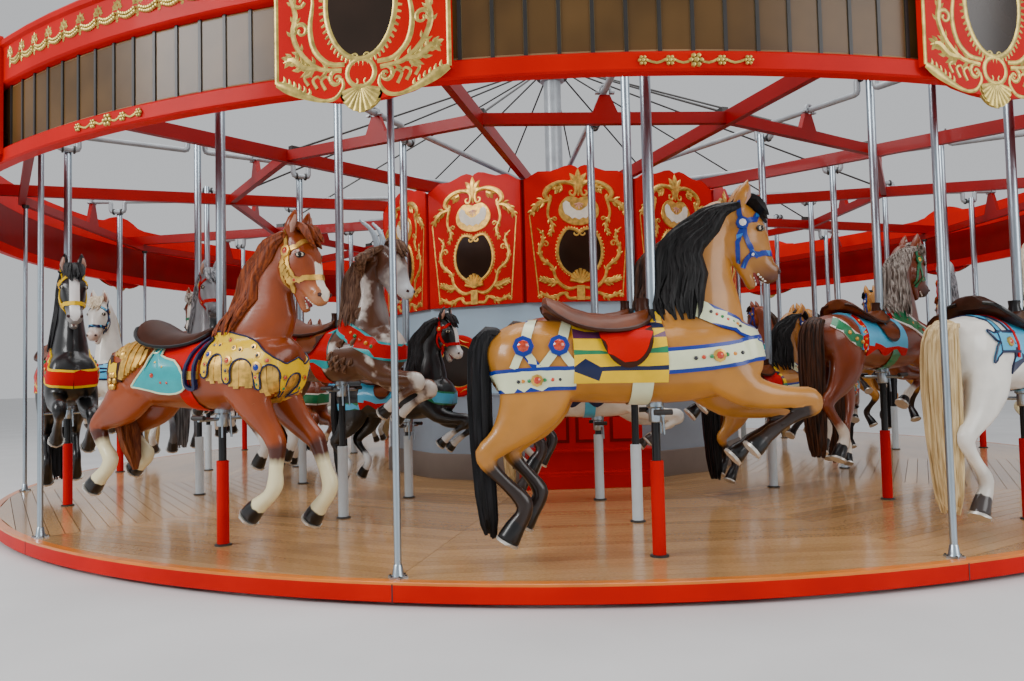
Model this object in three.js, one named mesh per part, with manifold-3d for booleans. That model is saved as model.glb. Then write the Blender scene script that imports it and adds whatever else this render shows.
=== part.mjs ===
// Fairground carousel with three rows of jumping animals on overhead crankshafts.
// Millimetres, +Z up, origin on the floor on the turning axis.
// An angle is counted from -Y towards +X. A piece is drawn at angle 0, where +X is the way
// the animals face, -Y points outwards, and it is then turned about Z to its bay or sweep.
import * as THREE from "three";
import { mergeVertices } from "three/addons/utils/BufferGeometryUtils.js";
import Module from "manifold-3d";

const wasm = await Module();
wasm.setup();

// Clearances
const seatGap = 0.3;
const sleeveGap = 2.5;

// Plan: equal bays between radial sweeps, one crankshaft in the middle of each bay
const bays = 12;
const bayAngle = (2 * Math.PI) / bays;
const roundSegments = 48;

// Deck, hung just clear of the floor
const deckRadius = 5200;
const deckHoleRadius = 1700;
const deckTop = 110;
const deckThickness = 40;
const deckSections = 4;
const rimBottom = 20;
const rimThickness = 40;

// Rows of animals: radius of the pole circle, size of the animal, crank pin down (-1) or up (+1) at rest
const rows = [
  { name: "outer", radius: 4700, scale: 1.0, pin: -1 },
  { name: "middle", radius: 3750, scale: 0.88, pin: 1 },
  { name: "inner", radius: 2850, scale: 0.76, pin: -1 },
];
const goatBay = bays - 1;
const stridingEvery = 4;
const lowestHoof = 90;

// Poles and the floor sleeves that guide them
const poleRadius = 28;
const lowerTubeRadius = 22;
const sleeveRadius = 35;
const sleeveHeight = 480;
const tubeFloorGap = 20;
const poleHead = 30;

// Overhead frame
const sweepBottom = 2750;
const sweepTop = 2850;
const beamWidth = 50;
const beamBottom = 2760;
const beamTop = 2840;
const ringBeamRadius = 3390;
const bearingRingRadius = 720;
const hubRadius = 330;
const hubBottom = 2700;
const hubTop = 2900;

// Crankshafts of bent pipe
const crankHeight = 2990;
const crankThrow = 110;
const crankPipe = 24;
const crankHalfPin = 70;
const crankStart = 630;
const crankEnd = 5010;

// Outer ring with the hanger rods that carry the deck's edge
const hangerRingRadius = 5150;
const hangerRingWidth = 60;
const hangerRingDepth = 80;
const hangerRadius = 17;
const hangerCircle = 5118;
const footRadius = 50;
const footThickness = 12;
const hangerSink = 20;

// Brackets that stand on the beams and carry the crankshafts
const bracketFootHalf = 120;
const bracketHeadHalf = 35;
const bracketThickness = 40;
const bracketSink = 10;

// Centre pole, its base and the turning head with the stay rods
const poleBaseHeight = 600;
const centrePoleRadius = 95;
const centrePoleTop = 4600;
const shoulderRadius = 135;
const shoulderBottom = 4230;
const headBottom = 4300;
const headTop = 4480;
const headRadius = 170;
const stayRadius = 9;
const stayFootCircle = 3290;
const baseReach = 1450;
const baseBeamWidth = 140;
const baseBeamHeight = 150;
const baseBeams = 6;
const baseBraceRadius = 40;
const baseBraceFoot = 0.85 * baseReach;
const stayFootLength = 90;
const stayFootHeight = 40;

// Cornice round the top, with a shield at each sweep
const corniceRadius = 5450;
const mirrorRadius = 5420;
const corniceInner = 5390;
const corniceBottom = 2290;
const mirrorBottom = 2380;
const mirrorTop = 2735;
const corniceTop = 2990;
const shieldThickness = 40;
const shieldSink = 10;
const shieldHalfWidth = 405;
const shieldTip = 2185;
const shieldCorner = 2335;
const shieldCrown = 3110;

// Centre drum: wall on the deck, crested panels above
const drumRadius = 1860;
const drumWall = 60;
const panelBottom = 1660;
const panelShoulder = 2710;
const panelCrest = 2860;
const panelThickness = 40;
const panelSink = 10;
const panelSideGap = 8;
const plinthHeight = 230;
const plinthDepth = 20;

// Cabinet steps from the lowest: width, depth and height above the deck
const cabinetSteps = [
  [1150, 460, 130],
  [1050, 380, 300],
  [900, 300, 820],
];

// Materials: colour, roughness, metalness
const paint = {
  red: [0xc41414, 0.25, 0.0],
  wood: [0xb9783c, 0.35, 0.0],
  grey: [0x8f9497, 0.45, 0.3],
  steel: [0xc8ccd0, 0.2, 1.0],
  dark: [0x3a3430, 0.5, 0.4],
  cream: [0xb9ae98, 0.5, 0.0],
  horse: [0xb57a42, 0.3, 0.0],
};

// Joining and cutting of closed geometries

function solidOf(geometry) {
  const bare = geometry.index ? geometry.toNonIndexed() : geometry.clone();
  bare.deleteAttribute("normal");
  bare.deleteAttribute("uv");
  const merged = mergeVertices(bare, 1e-3);
  return new wasm.Manifold(
    new wasm.Mesh({
      numProp: 3,
      vertProperties: new Float32Array(merged.attributes.position.array),
      triVerts: new Uint32Array(merged.index.array),
    }),
  );
}

function geometryOf(solid) {
  const made = solid.getMesh();
  const geometry = new THREE.BufferGeometry();
  geometry.setAttribute("position", new THREE.BufferAttribute(made.vertProperties, 3));
  geometry.setIndex(new THREE.BufferAttribute(made.triVerts, 1));
  return geometry;
}

function joined(geometries, cuts = []) {
  let solid = geometries.map(solidOf).reduce((a, b) => a.add(b));
  for (const cut of cuts) solid = solid.subtract(solidOf(cut));
  return geometryOf(solid);
}

// Basic shapes

function block(x, y, z, width, depth, height) {
  return new THREE.BoxGeometry(width, depth, height).translate(x, y, z + height / 2);
}

function post(x, y, bottom, top, radius, sides = 6) {
  const shape = new THREE.CylinderGeometry(radius, radius, top - bottom, sides);
  return shape.rotateX(Math.PI / 2).translate(x, y, (bottom + top) / 2);
}

function strut(from, to, radius, sides = 6) {
  const start = new THREE.Vector3(...from);
  const along = new THREE.Vector3(...to).sub(start);
  const shape = new THREE.CylinderGeometry(radius, radius, along.length(), sides);
  const turn = new THREE.Quaternion().setFromUnitVectors(
    new THREE.Vector3(0, 1, 0),
    along.clone().normalize(),
  );
  return shape.applyQuaternion(turn).translate(...start.addScaledVector(along, 0.5).toArray());
}

// Ring about Z from a closed profile of [radius, height] points, anticlockwise
function ring(profile, segments, startAngle = 0) {
  const points = [...profile, profile[0]].map(([r, z]) => new THREE.Vector2(r, z));
  return new THREE.LatheGeometry(points, segments, startAngle).rotateX(Math.PI / 2);
}

function boxRing(outer, inner, bottom, top, segments, startAngle = 0) {
  const profile = [[outer, bottom], [outer, top], [inner, top], [inner, bottom]];
  return ring(profile, segments, startAngle);
}

// Upright plate from an outline of [x, z] points, its back at y and its front outwards
function plate(outline, y, thickness) {
  const shape = new THREE.Shape(outline.map(([x, z]) => new THREE.Vector2(x, z)));
  const slab = new THREE.ExtrudeGeometry(shape, { depth: thickness, bevelEnabled: false });
  return slab.rotateX(Math.PI / 2).translate(0, y, 0);
}

function mirrored(half) {
  const other = half.filter(([x]) => x !== 0).map(([x, z]) => [-x, z]);
  return [...half, ...other.reverse()];
}

// Tube along stations [x, y, z, half depth, half width], mitred at bends in the XZ plane
function tube(stations, sides) {
  const normals = stations.slice(1).map((s, i) => {
    const dx = s[0] - stations[i][0];
    const dz = s[2] - stations[i][2];
    const length = Math.hypot(dx, dz);
    return [-dz / length, dx / length];
  });
  const corners = [];
  stations.forEach(([x, y, z, depth, width], i) => {
    const before = normals[Math.max(i - 1, 0)];
    const after = normals[Math.min(i, normals.length - 1)];
    const share = 1 + before[0] * after[0] + before[1] * after[1];
    const mitre = [(before[0] + after[0]) / share, (before[1] + after[1]) / share];
    for (let j = 0; j < sides; j++) {
      const turn = (2 * Math.PI * j) / sides;
      const rise = depth * Math.cos(turn);
      corners.push(x + mitre[0] * rise, y + width * Math.sin(turn), z + mitre[1] * rise);
    }
  });
  const faces = [];
  const last = (stations.length - 1) * sides;
  for (let i = 0; i < stations.length - 1; i++) {
    for (let j = 0; j < sides; j++) {
      const a = i * sides + j;
      const b = i * sides + ((j + 1) % sides);
      faces.push(a, a + sides, b, b, a + sides, b + sides);
    }
  }
  for (let j = 1; j < sides - 1; j++) {
    faces.push(0, j, j + 1);
    faces.push(last, last + j + 1, last + j);
  }
  const geometry = new THREE.BufferGeometry();
  geometry.setAttribute("position", new THREE.Float32BufferAttribute(corners, 3));
  return geometry.setIndex(faces);
}

function turned(geometry, angle) {
  return geometry.clone().rotateZ(angle);
}

// Copies of a piece at every sweep, or in the middle of every bay
function atSweeps(geometry) {
  return Array.from({ length: bays }, (_, i) => turned(geometry, i * bayAngle));
}

function atBays(geometry) {
  return Array.from({ length: bays }, (_, i) => turned(geometry, (i + 0.5) * bayAngle));
}

// Hexagonal pieces face each other with their flats
const flat = Math.cos(Math.PI / 6);
const poleOffset = (poleRadius + crankPipe) * flat + seatGap;
const bearingSeat = crankHeight - crankPipe - seatGap;
const midBay = Math.cos(bayAngle / 2);
const poleSides = 16;
const poleBore = (centrePoleRadius + seatGap) / Math.cos(Math.PI / poleSides);

// Fixed centre

function centreBase() {
  const pieces = [post(0, 0, 0, poleBaseHeight, 2 * centrePoleRadius, 12)];
  for (let i = 0; i < baseBeams; i++) {
    const angle = (i * 2 * Math.PI) / baseBeams;
    const beam = block(0, -baseReach / 2, 0, baseBeamWidth, baseReach, baseBeamHeight);
    const foot = [0, -baseBraceFoot, baseBeamHeight - baseBraceRadius / 2];
    const head = [0, -centrePoleRadius, poleBaseHeight - 2 * baseBraceRadius];
    const brace = strut(foot, head, baseBraceRadius);
    pieces.push(turned(beam, angle), turned(brace, angle));
  }
  return joined(pieces);
}

function centrePole() {
  const profile = [
    [0, poleBaseHeight + seatGap],
    [centrePoleRadius, poleBaseHeight + seatGap],
    [centrePoleRadius, shoulderBottom],
    [shoulderRadius, shoulderBottom + 40],
    [shoulderRadius, headBottom - seatGap],
    [centrePoleRadius, headBottom - seatGap],
    [centrePoleRadius, centrePoleTop - 40],
    [centrePoleRadius - 35, centrePoleTop],
    [0, centrePoleTop],
  ].map(([r, z]) => new THREE.Vector2(r, z));
  return new THREE.LatheGeometry(profile, poleSides).rotateX(Math.PI / 2);
}

// Turning frame

// Trapezium bracket that stands on a beam and carries a crankshaft
function bearingBracket(y, bottom) {
  const outline = mirrored([[bracketFootHalf, bottom], [bracketHeadHalf, bearingSeat]]);
  return plate(outline, y, bracketThickness);
}

function sweepFrame() {
  const sweepEnd = corniceInner * Math.cos(Math.PI / roundSegments) - seatGap;
  const sweepStart = hubRadius - 80;
  const length = sweepEnd - sweepStart;
  const sweep = block(0, -sweepStart - length / 2, sweepBottom, beamWidth, length, sweepTop - sweepBottom);
  const beam = beamWidth / midBay;
  const bracketBack = (radius) => -(radius * midBay - beamWidth / 2 - bracketThickness / 2);
  return joined([
    boxRing(hubRadius, poleBore, hubBottom, hubTop, poleSides),
    ...atSweeps(sweep),
    boxRing(ringBeamRadius, ringBeamRadius - beam, beamBottom, beamTop, bays),
    boxRing(bearingRingRadius, bearingRingRadius - beam, beamBottom, beamTop, bays),
    ...atBays(bearingBracket(bracketBack(ringBeamRadius), beamBottom + bracketSink)),
    ...atBays(bearingBracket(bracketBack(bearingRingRadius), beamBottom + bracketSink)),
  ]);
}

function mastHead() {
  const pieces = [boxRing(headRadius, poleBore, headBottom, headTop, poleSides)];
  const foot = block(0, -stayFootCircle, sweepTop + seatGap, beamWidth, stayFootLength, stayFootHeight);
  const stayTop = [0, -headRadius + 25, headTop - 80];
  const stay = strut(stayTop, [0, -stayFootCircle, sweepTop + stayFootHeight / 2], stayRadius);
  pieces.push(...atSweeps(foot), ...atSweeps(stay));
  return joined(pieces);
}

function hangerRing() {
  const top = sweepBottom - seatGap;
  const bottom = top - hangerRingDepth;
  const width = hangerRingWidth / midBay;
  const foot = deckTop + seatGap;
  const bracketBack = -(hangerRingRadius * midBay - hangerRingWidth / 2 - bracketThickness / 2);
  return joined([
    boxRing(hangerRingRadius, hangerRingRadius - width, bottom, top, bays),
    ...atSweeps(post(0, -hangerCircle, foot, bottom + hangerSink, hangerRadius)),
    ...atSweeps(post(0, -hangerCircle, foot, foot + footThickness, footRadius)),
    ...atBays(bearingBracket(bracketBack, bottom + hangerSink)),
  ]);
}

// Bent pipe with one throw for each row, along -Y at angle 0
function crankshaft() {
  const stations = [[crankStart, 0]];
  for (const row of [...rows].reverse()) {
    const pin = row.pin * crankThrow;
    stations.push([row.radius - crankHalfPin, 0], [row.radius - crankHalfPin, pin]);
    stations.push([row.radius + crankHalfPin, pin], [row.radius + crankHalfPin, 0]);
  }
  stations.push([crankEnd, 0]);
  const path = stations.map(([r, z]) => [r, 0, z, crankPipe, crankPipe]);
  return tube(path, 6).rotateZ(-Math.PI / 2).translate(0, 0, crankHeight);
}

// Deck

function arc(radius, from, to, steps) {
  return Array.from({ length: steps + 1 }, (_, i) => {
    const angle = from + ((to - from) * i) / steps;
    return new THREE.Vector2(radius * Math.sin(angle), -radius * Math.cos(angle));
  });
}

function sector(outer, inner, innerSteps, bottom, top) {
  const slit = seatGap / 2 / deckHoleRadius;
  const from = slit;
  const to = (2 * Math.PI) / deckSections - slit;
  const outside = arc(outer, from, to, roundSegments / deckSections);
  const inside = arc(inner, to, from, innerSteps);
  const shape = new THREE.Shape([...outside, ...inside]);
  return new THREE.ExtrudeGeometry(shape, { depth: top - bottom, bevelEnabled: false }).translate(0, 0, bottom);
}

function poleSide(row) {
  return row.pin * poleOffset;
}

function deckSection() {
  const deckBottom = deckTop - deckThickness;
  const steps = roundSegments / deckSections;
  const pieces = [
    sector(deckRadius, deckHoleRadius, bays / deckSections, deckBottom, deckTop),
    sector(deckRadius, deckRadius - rimThickness, steps, rimBottom, deckTop),
  ];
  const bores = [];
  for (let bay = 0; bay < bays / deckSections; bay++) {
    for (const row of rows) {
      const angle = (bay + 0.5) * bayAngle;
      const place = [poleSide(row), -row.radius];
      const sleeve = post(...place, deckBottom + 10, deckTop + sleeveHeight, sleeveRadius);
      const bore = post(...place, deckTop + 5, deckTop + sleeveHeight + 10, lowerTubeRadius + sleeveGap);
      pieces.push(turned(sleeve, angle));
      bores.push(turned(bore, angle));
    }
  }
  return joined(pieces, bores);
}

// Cornice

// Shield board: shell tip, two hanging lobes, straight sides and a low crown
function shieldOutline() {
  return mirrored([
    [0, shieldTip],
    [0.20 * shieldHalfWidth, shieldTip + 25],
    [0.50 * shieldHalfWidth, shieldTip + 60],
    [0.80 * shieldHalfWidth, shieldCorner - 60],
    [shieldHalfWidth, shieldCorner],
    [shieldHalfWidth, corniceTop + 20],
    [0.55 * shieldHalfWidth, shieldCrown - 45],
    [0, shieldCrown],
  ]);
}

function cornice() {
  const half = Math.PI / roundSegments;
  const profile = [
    [corniceRadius, corniceBottom],
    [corniceRadius, mirrorBottom],
    [mirrorRadius, mirrorBottom],
    [mirrorRadius, mirrorTop],
    [corniceRadius, mirrorTop],
    [corniceRadius, corniceTop],
    [corniceInner, corniceTop],
    [corniceInner, corniceBottom],
  ];
  const shieldBack = -corniceRadius * Math.cos(half) + shieldSink;
  const shield = plate(shieldOutline(), shieldBack, shieldThickness + shieldSink);
  return joined([ring(profile, roundSegments, half), ...atSweeps(shield)]);
}

// Centre drum

function panelOutline() {
  const halfWidth = drumRadius * Math.sin(bayAngle / 2) - panelSideGap;
  return mirrored([
    [halfWidth, panelBottom],
    [halfWidth, panelShoulder],
    [0.62 * halfWidth, panelShoulder + 40],
    [0.3 * halfWidth, panelCrest - 20],
    [0, panelCrest],
  ]);
}

function centreDrum() {
  const wallTop = sweepBottom - seatGap;
  const foot = deckTop + seatGap;
  const wall = boxRing(drumRadius, drumRadius - drumWall / midBay, foot, wallTop, bays);
  const plinthInner = drumRadius - drumWall / 2;
  const plinth = boxRing(drumRadius + plinthDepth, plinthInner, foot, deckTop + plinthHeight, bays);
  const panel = plate(panelOutline(), -drumRadius * midBay + panelSink, panelThickness + panelSink);
  return joined([wall, plinth, ...atBays(panel)]);
}

// Stepped cabinet on the deck against the drum
function cabinet() {
  const back = -(drumRadius + plinthDepth) * midBay - seatGap;
  const foot = deckTop + seatGap;
  const step = ([width, depth, height]) => block(0, back - depth / 2, foot, width, depth, height);
  return joined(cabinetSteps.map(step));
}

// Animals: stations in millimetres from the lowest hoof and the pole, facing +X

const barrel = [
  [-865, 0, 900, 80, 80],
  [-660, 0, 905, 205, 185],
  [-100, 0, 890, 200, 205],
  [255, 0, 945, 160, 165],
];

// Prancing: head high, forelegs folded
const prancing = {
  trunk: [
    ...barrel,
    [245, 0, 1370, 150, 85],
    [375, 0, 1625, 75, 65],
    [590, 0, 1290, 60, 52],
  ],
  horns: [
    [330, 0, 1640, 45, 55],
    [250, 0, 1860, 15, 110],
  ],
  tail: [
    [-780, 0, 1015, 65, 50],
    [-900, 0, 790, 75, 60],
    [-850, 0, 45, 40, 35],
  ],
  shortTail: [
    [-790, 0, 1000, 50, 40],
    [-940, 0, 930, 30, 40],
  ],
  foreOuter: [
    [330, 95, 850, 120, 60],
    [735, 90, 680, 38, 45],
    [450, 90, 450, 48, 44],
  ],
  hindOuter: [
    [-640, 95, 790, 150, 75],
    [-850, 95, 455, 62, 50],
    [-685, 95, 200, 45, 40],
    [-765, 95, 26, 55, 50],
  ],
  hindInner: [
    [-575, -95, 780, 150, 75],
    [-715, -95, 460, 60, 50],
    [-590, -95, 230, 44, 40],
    [-675, -95, 68, 54, 50],
  ],
};
prancing.foreInner = prancing.foreOuter.map(([x, y, z, ...half]) => [x - 60, -y, z, ...half]);

// Striding: head reaching forwards, forelegs down and hind legs thrown back
const striding = {
  trunk: [
    ...barrel,
    [350, 0, 1325, 150, 85],
    [485, 0, 1575, 75, 65],
    [700, 0, 1240, 60, 52],
  ],
  tail: [
    [-780, 0, 1015, 65, 50],
    [-850, 0, 760, 70, 60],
    [-750, 0, 360, 40, 35],
  ],
  foreOuter: [
    [270, 95, 800, 120, 60],
    [505, 90, 510, 46, 45],
    [495, 90, 265, 38, 40],
    [320, 90, 110, 52, 46],
  ],
  foreInner: [
    [300, -95, 800, 120, 60],
    [590, -90, 510, 46, 45],
    [685, -90, 255, 38, 40],
    [570, -90, 75, 52, 46],
  ],
  hindOuter: [
    [-620, 95, 790, 150, 75],
    [-925, 95, 600, 58, 50],
    [-805, 95, 385, 42, 40],
    [-965, 95, 220, 50, 48],
  ],
  hindInner: [
    [-600, -95, 780, 150, 75],
    [-885, -95, 555, 58, 50],
    [-755, -95, 415, 42, 40],
    [-855, -95, 310, 50, 46],
  ],
};

function scaled(stations, scale, lift) {
  return stations.map(([x, y, z, depth, width]) => [
    scale * x,
    -scale * y,
    scale * z + lift,
    scale * depth,
    scale * width,
  ]);
}

// An animal at angle 0 with its main pole up to the crank pin and its lower tube in the sleeve
function animal(row, isGoat, limbs) {
  const stroke = 2 * crankThrow;
  const raised = row.pin > 0 ? stroke : 0;
  const lift = deckTop + lowestHoof + raised;
  const limb = (name, sides) => tube(scaled(limbs[name], row.scale, lift), sides);
  const pieces = [
    limb("trunk", 6),
    limb(isGoat ? "shortTail" : "tail", 3),
    limb("foreOuter", 3),
    limb("foreInner", 3),
    limb("hindOuter", 3),
    limb("hindInner", 3),
    post(0, 0, lift + 800 * row.scale, crankHeight + row.pin * crankThrow + poleHead, poleRadius),
    post(0, 0, deckTop + tubeFloorGap + raised, lift + 850 * row.scale, lowerTubeRadius),
  ];
  if (isGoat) pieces.push(limb("horns", 4));
  return joined(pieces).translate(poleSide(row), -row.radius, 0);
}

// The assembly

const group = new THREE.Group();
group.name = "carousel";

function add(name, geometry, [color, roughness, metalness], angle = 0) {
  const mesh = new THREE.Mesh(geometry, new THREE.MeshStandardMaterial({ color, roughness, metalness }));
  mesh.name = name;
  mesh.rotation.z = angle;
  group.add(mesh);
}

add("centre_base", centreBase(), paint.dark);
add("centre_pole", centrePole(), paint.grey);
add("sweep_frame", sweepFrame(), paint.red);
add("mast_head", mastHead(), paint.dark);
add("hanger_ring", hangerRing(), paint.steel);
add("cornice", cornice(), paint.red);
add("centre_drum", centreDrum(), paint.cream);
add("cabinet", cabinet(), paint.red, 0.5 * bayAngle);

for (let i = 0; i < deckSections; i++) {
  add(`deck_section_${i + 1}`, deckSection(), paint.wood, (i * 2 * Math.PI) / deckSections);
}

for (let bay = 0; bay < bays; bay++) {
  const number = String(bay + 1).padStart(2, "0");
  const angle = (bay + 0.5) * bayAngle;
  add(`crankshaft_${number}`, crankshaft(), paint.grey, angle);
  for (const row of rows) {
    const isGoat = bay === goatBay && row.name === "middle";
    const kind = isGoat ? "goat" : "horse";
    const strides = row.name === "outer" && (bay + 1) % stridingEvery === 0;
    add(`${row.name}_${kind}_${number}`, animal(row, isGoat, strides ? striding : prancing), paint.horse, angle);
  }
}

export default group;
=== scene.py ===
import math
import random

import bmesh
import bpy
from mathutils import Matrix, Vector
from mathutils.bvhtree import BVHTree


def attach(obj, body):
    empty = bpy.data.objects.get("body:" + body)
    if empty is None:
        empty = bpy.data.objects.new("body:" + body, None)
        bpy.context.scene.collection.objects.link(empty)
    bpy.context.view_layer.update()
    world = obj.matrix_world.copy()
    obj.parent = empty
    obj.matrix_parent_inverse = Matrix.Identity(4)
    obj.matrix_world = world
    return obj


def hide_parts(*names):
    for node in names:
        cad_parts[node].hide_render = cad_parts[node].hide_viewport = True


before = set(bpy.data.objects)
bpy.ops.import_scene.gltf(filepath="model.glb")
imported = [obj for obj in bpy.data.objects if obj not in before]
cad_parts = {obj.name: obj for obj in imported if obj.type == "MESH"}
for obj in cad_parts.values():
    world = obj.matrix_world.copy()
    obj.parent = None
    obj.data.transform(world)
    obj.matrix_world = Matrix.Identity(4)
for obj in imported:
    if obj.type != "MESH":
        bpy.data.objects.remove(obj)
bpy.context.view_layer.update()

# Driving dimensions, in metres, the same as the solids' own
BAYS = 12
BAY = 2 * math.pi / BAYS
DECK_R = 5.20
DECK_HOLE_R = 1.70
DECK_TOP = 0.110
RIM_BOTTOM = 0.020
HANGER_CIRCLE = 5.118
HANGER_R = 0.017
RING_R = 5.150
CORNICE_R = 5.45
CORNICE_IN = 5.39
CORNICE_BOTTOM = 2.29
MIRROR_BOTTOM = 2.38
MIRROR_TOP = 2.735
CORNICE_TOP = 2.99
SHIELD_HALF = 0.405
SHIELD_CORNER = 2.335
SHIELD_CROWN = 3.11
SHIELD_FRONT = 5.474
DRUM_R = 1.86
PANEL_BOTTOM = 1.66
CRANK_Z = 2.99
THROW = 0.110
PIPE_R = 0.024
HALF_PIN = 0.070
CRANK_START = 0.63
CRANK_END = 5.01
POLE_R = 0.028
TUBE_R = 0.022
SLEEVE_R = 0.035
SLEEVE_H = 0.48
RING_LOW = 2.672
RING_HIGH = 2.748
BEARING_FOOT = 2.968
HOOF_LIFT = 0.090
ROWS = {"outer": (4.70, 1.0, -1), "middle": (3.75, 0.88, 1), "inner": (2.85, 0.76, -1)}
POLE_OFFSET = (POLE_R + PIPE_R) * math.cos(math.pi / 6) + 0.0003
TURN = "turntable"


def srgb(code):
    """Linear colour of a hex code."""
    parts = [int(code[i:i + 2], 16) / 255 for i in (0, 2, 4)]
    return tuple(c / 12.92 if c < 0.04045 else ((c + 0.055) / 1.055) ** 2.4 for c in parts) + (1.0,)


# Materials

def shader(name, roughness=0.4, metallic=0.0, coat=0.0):
    """New material, its node tree and its main shader."""
    made = bpy.data.materials.new(name)
    made.use_nodes = True
    main = made.node_tree.nodes["Principled BSDF"]
    main.inputs["Roughness"].default_value = roughness
    main.inputs["Metallic"].default_value = metallic
    main.inputs["Coat Weight"].default_value = coat
    main.inputs["Coat Roughness"].default_value = 0.08
    return made, made.node_tree, main


def link(tree, source, out, target, socket):
    """Join an output socket to an input socket."""
    tree.links.new(source.outputs[out], target.inputs[socket])


def coordinates(tree, scale=(1, 1, 1)):
    """The object's own coordinates, scaled."""
    place = tree.nodes.new("ShaderNodeTexCoord")
    sized = tree.nodes.new("ShaderNodeMapping")
    sized.inputs["Scale"].default_value = scale
    link(tree, place, "Object", sized, "Vector")
    return sized


def noise(tree, place, scale, detail=3.0):
    """Noise over the coordinates."""
    made = tree.nodes.new("ShaderNodeTexNoise")
    made.inputs["Scale"].default_value = scale
    made.inputs["Detail"].default_value = detail
    link(tree, place, "Vector", made, "Vector")
    return made


def ramp(tree, source, out, stops):
    """Colours between stops of (place, colour)."""
    made = tree.nodes.new("ShaderNodeValToRGB")
    ends = made.color_ramp.elements
    while len(ends) < len(stops):
        ends.new(0.5)
    for end, (place, colour) in zip(ends, stops):
        end.position = place
        end.color = colour
    link(tree, source, out, made, "Fac")
    return made


def bump(tree, source, out, main, strength, distance):
    """Let a source's value raise the surface."""
    made = tree.nodes.new("ShaderNodeBump")
    made.inputs["Strength"].default_value = strength
    made.inputs["Distance"].default_value = distance
    link(tree, source, out, made, "Height")
    link(tree, made, "Normal", main, "Normal")


def shade(colour, factor):
    """The colour made lighter or darker by a factor."""
    return tuple(min(1.0, c * factor) for c in colour[:3]) + (1.0,)


def enamel(name, code, roughness=0.32, coat=0.18, spread=0.18, scale=7.0, metallic=0.0, gloss=0.35):
    """Brushed gloss paint: colour drifts a little and the coat ripples."""
    made, tree, main = shader(name, roughness, metallic, coat)
    main.inputs["Specular IOR Level"].default_value = gloss
    place = coordinates(tree)
    drift = noise(tree, place, scale)
    colour = srgb(code)
    tones = ramp(tree, drift, "Fac", [(0.3, shade(colour, 1 - spread)), (0.7, shade(colour, 1 + spread))])
    link(tree, tones, "Color", main, "Base Color")
    ripple = noise(tree, place, 45.0, 2.0)
    bump(tree, ripple, "Fac", main, 0.10, 0.002)
    return made


def metal(name, code, roughness, scale=(60, 60, 6), metallic=1.0):
    """Drawn or polished metal with faint lengthwise wear."""
    made, tree, main = shader(name, roughness, metallic)
    streak = noise(tree, coordinates(tree, scale), 1.0, 4.0)
    colour = srgb(code)
    tones = ramp(tree, streak, "Fac", [(0.3, shade(colour, 0.86)), (0.7, colour)])
    link(tree, tones, "Color", main, "Base Color")
    rough = tree.nodes.new("ShaderNodeMapRange")
    rough.inputs["To Min"].default_value = roughness * 0.8
    rough.inputs["To Max"].default_value = roughness * 1.5
    link(tree, streak, "Fac", rough, "Value")
    link(tree, rough, "Result", main, "Roughness")
    return made


def gilt(name, code):
    """Gold leaf paint, brighter and darker in patches; the darker patches are painted shade in the hollows of
    its bump.
    """
    made, tree, main = shader(name, 0.34, 0.6)
    patches = noise(tree, coordinates(tree), 26.0, 4.0)
    colour = srgb(code)
    # Painted shade: the same noise drives the bump below, so the darker end of the ramp lies in the bump's
    # hollows.
    tones = ramp(tree, patches, "Fac", [(0.35, shade(colour, 0.62)), (0.6, shade(colour, 1.12))])
    link(tree, tones, "Color", main, "Base Color")
    bump(tree, patches, "Fac", main, 0.25, 0.003)
    return made


def planks(name):
    """Varnished boards: each board's own tone comes from its stored shade."""
    made, tree, main = shader(name, 0.22, 0.0, 0.35)
    own = tree.nodes.new("ShaderNodeAttribute")
    own.attribute_name = "shade"
    grain = noise(tree, coordinates(tree, (7, 7, 7)), 9.0, 6.0)
    tones = ramp(tree, own, "Fac", [(0.0, srgb("ad8353")), (0.5, srgb("bb905e")), (1.0, srgb("c89c69"))])
    dark = ramp(tree, grain, "Fac", [(0.35, (0.72, 0.66, 0.60, 1)), (0.65, (1, 1, 1, 1))])
    mix = tree.nodes.new("ShaderNodeMix")
    mix.data_type = "RGBA"
    mix.blend_type = "MULTIPLY"
    mix.inputs["Factor"].default_value = 0.7
    link(tree, tones, "Color", mix, 6)
    link(tree, dark, "Color", mix, 7)
    tree.links.new(mix.outputs[2], main.inputs["Base Color"])
    bump(tree, grain, "Fac", main, 0.06, 0.002)
    return made


def looking_glass(name, code, roughness, gloss):
    """Smoked mirror with a slow drift of tone."""
    made, tree, main = shader(name, roughness)
    main.inputs["Specular IOR Level"].default_value = gloss
    drift = noise(tree, coordinates(tree), 3.0, 2.0)
    colour = srgb(code)
    tones = ramp(tree, drift, "Fac", [(0.3, shade(colour, 0.7)), (0.7, shade(colour, 1.3))])
    link(tree, tones, "Color", main, "Base Color")
    return made


RED = enamel("red_gloss", "c40402", 0.42, 0.03, 0.10, 3.0, gloss=0.08)
RED_FRAME = enamel("red_steel", "8e0608", 0.40, 0.05, 0.10, 3.0, gloss=0.15)
RED_DEEP = enamel("red_wood", "740405", 0.42, 0.03, 0.12, 5.0, gloss=0.08)
GOLD = gilt("gilt", "e0b154")
GOLD_PALE = gilt("gilt_pale", "cbb360")
GREY = enamel("grey_machine_paint", "9a9fa3", 0.35, 0.2, 0.12, 9.0, 0.2)
CHROME = metal("polished_tube", "b2c0ca", 0.27)
DARK = enamel("dark_steel", "2b2826", 0.45, 0.1, 0.2, 8.0)
BLACK = enamel("black_enamel", "08080a", 0.28, 0.2, 0.3, 6.0)
WHITE = enamel("white_enamel", "e6e2da", 0.3, 0.4, 0.06, 6.0)
MIRROR = looking_glass("smoked_mirror", "5a4122", 0.25, 0.25)
MIRROR_DARK = looking_glass("oval_mirror", "2a1d14", 0.12, 0.3)
ORANGE = enamel("orange_strip", "d8761c", 0.3, 0.4, 0.12, 6.0)
PLANKS = planks("varnished_planks")
WALL = enamel("drum_wall_paint", "a9c4d6", 0.5, 0.05, 0.05, 4.0)
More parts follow.
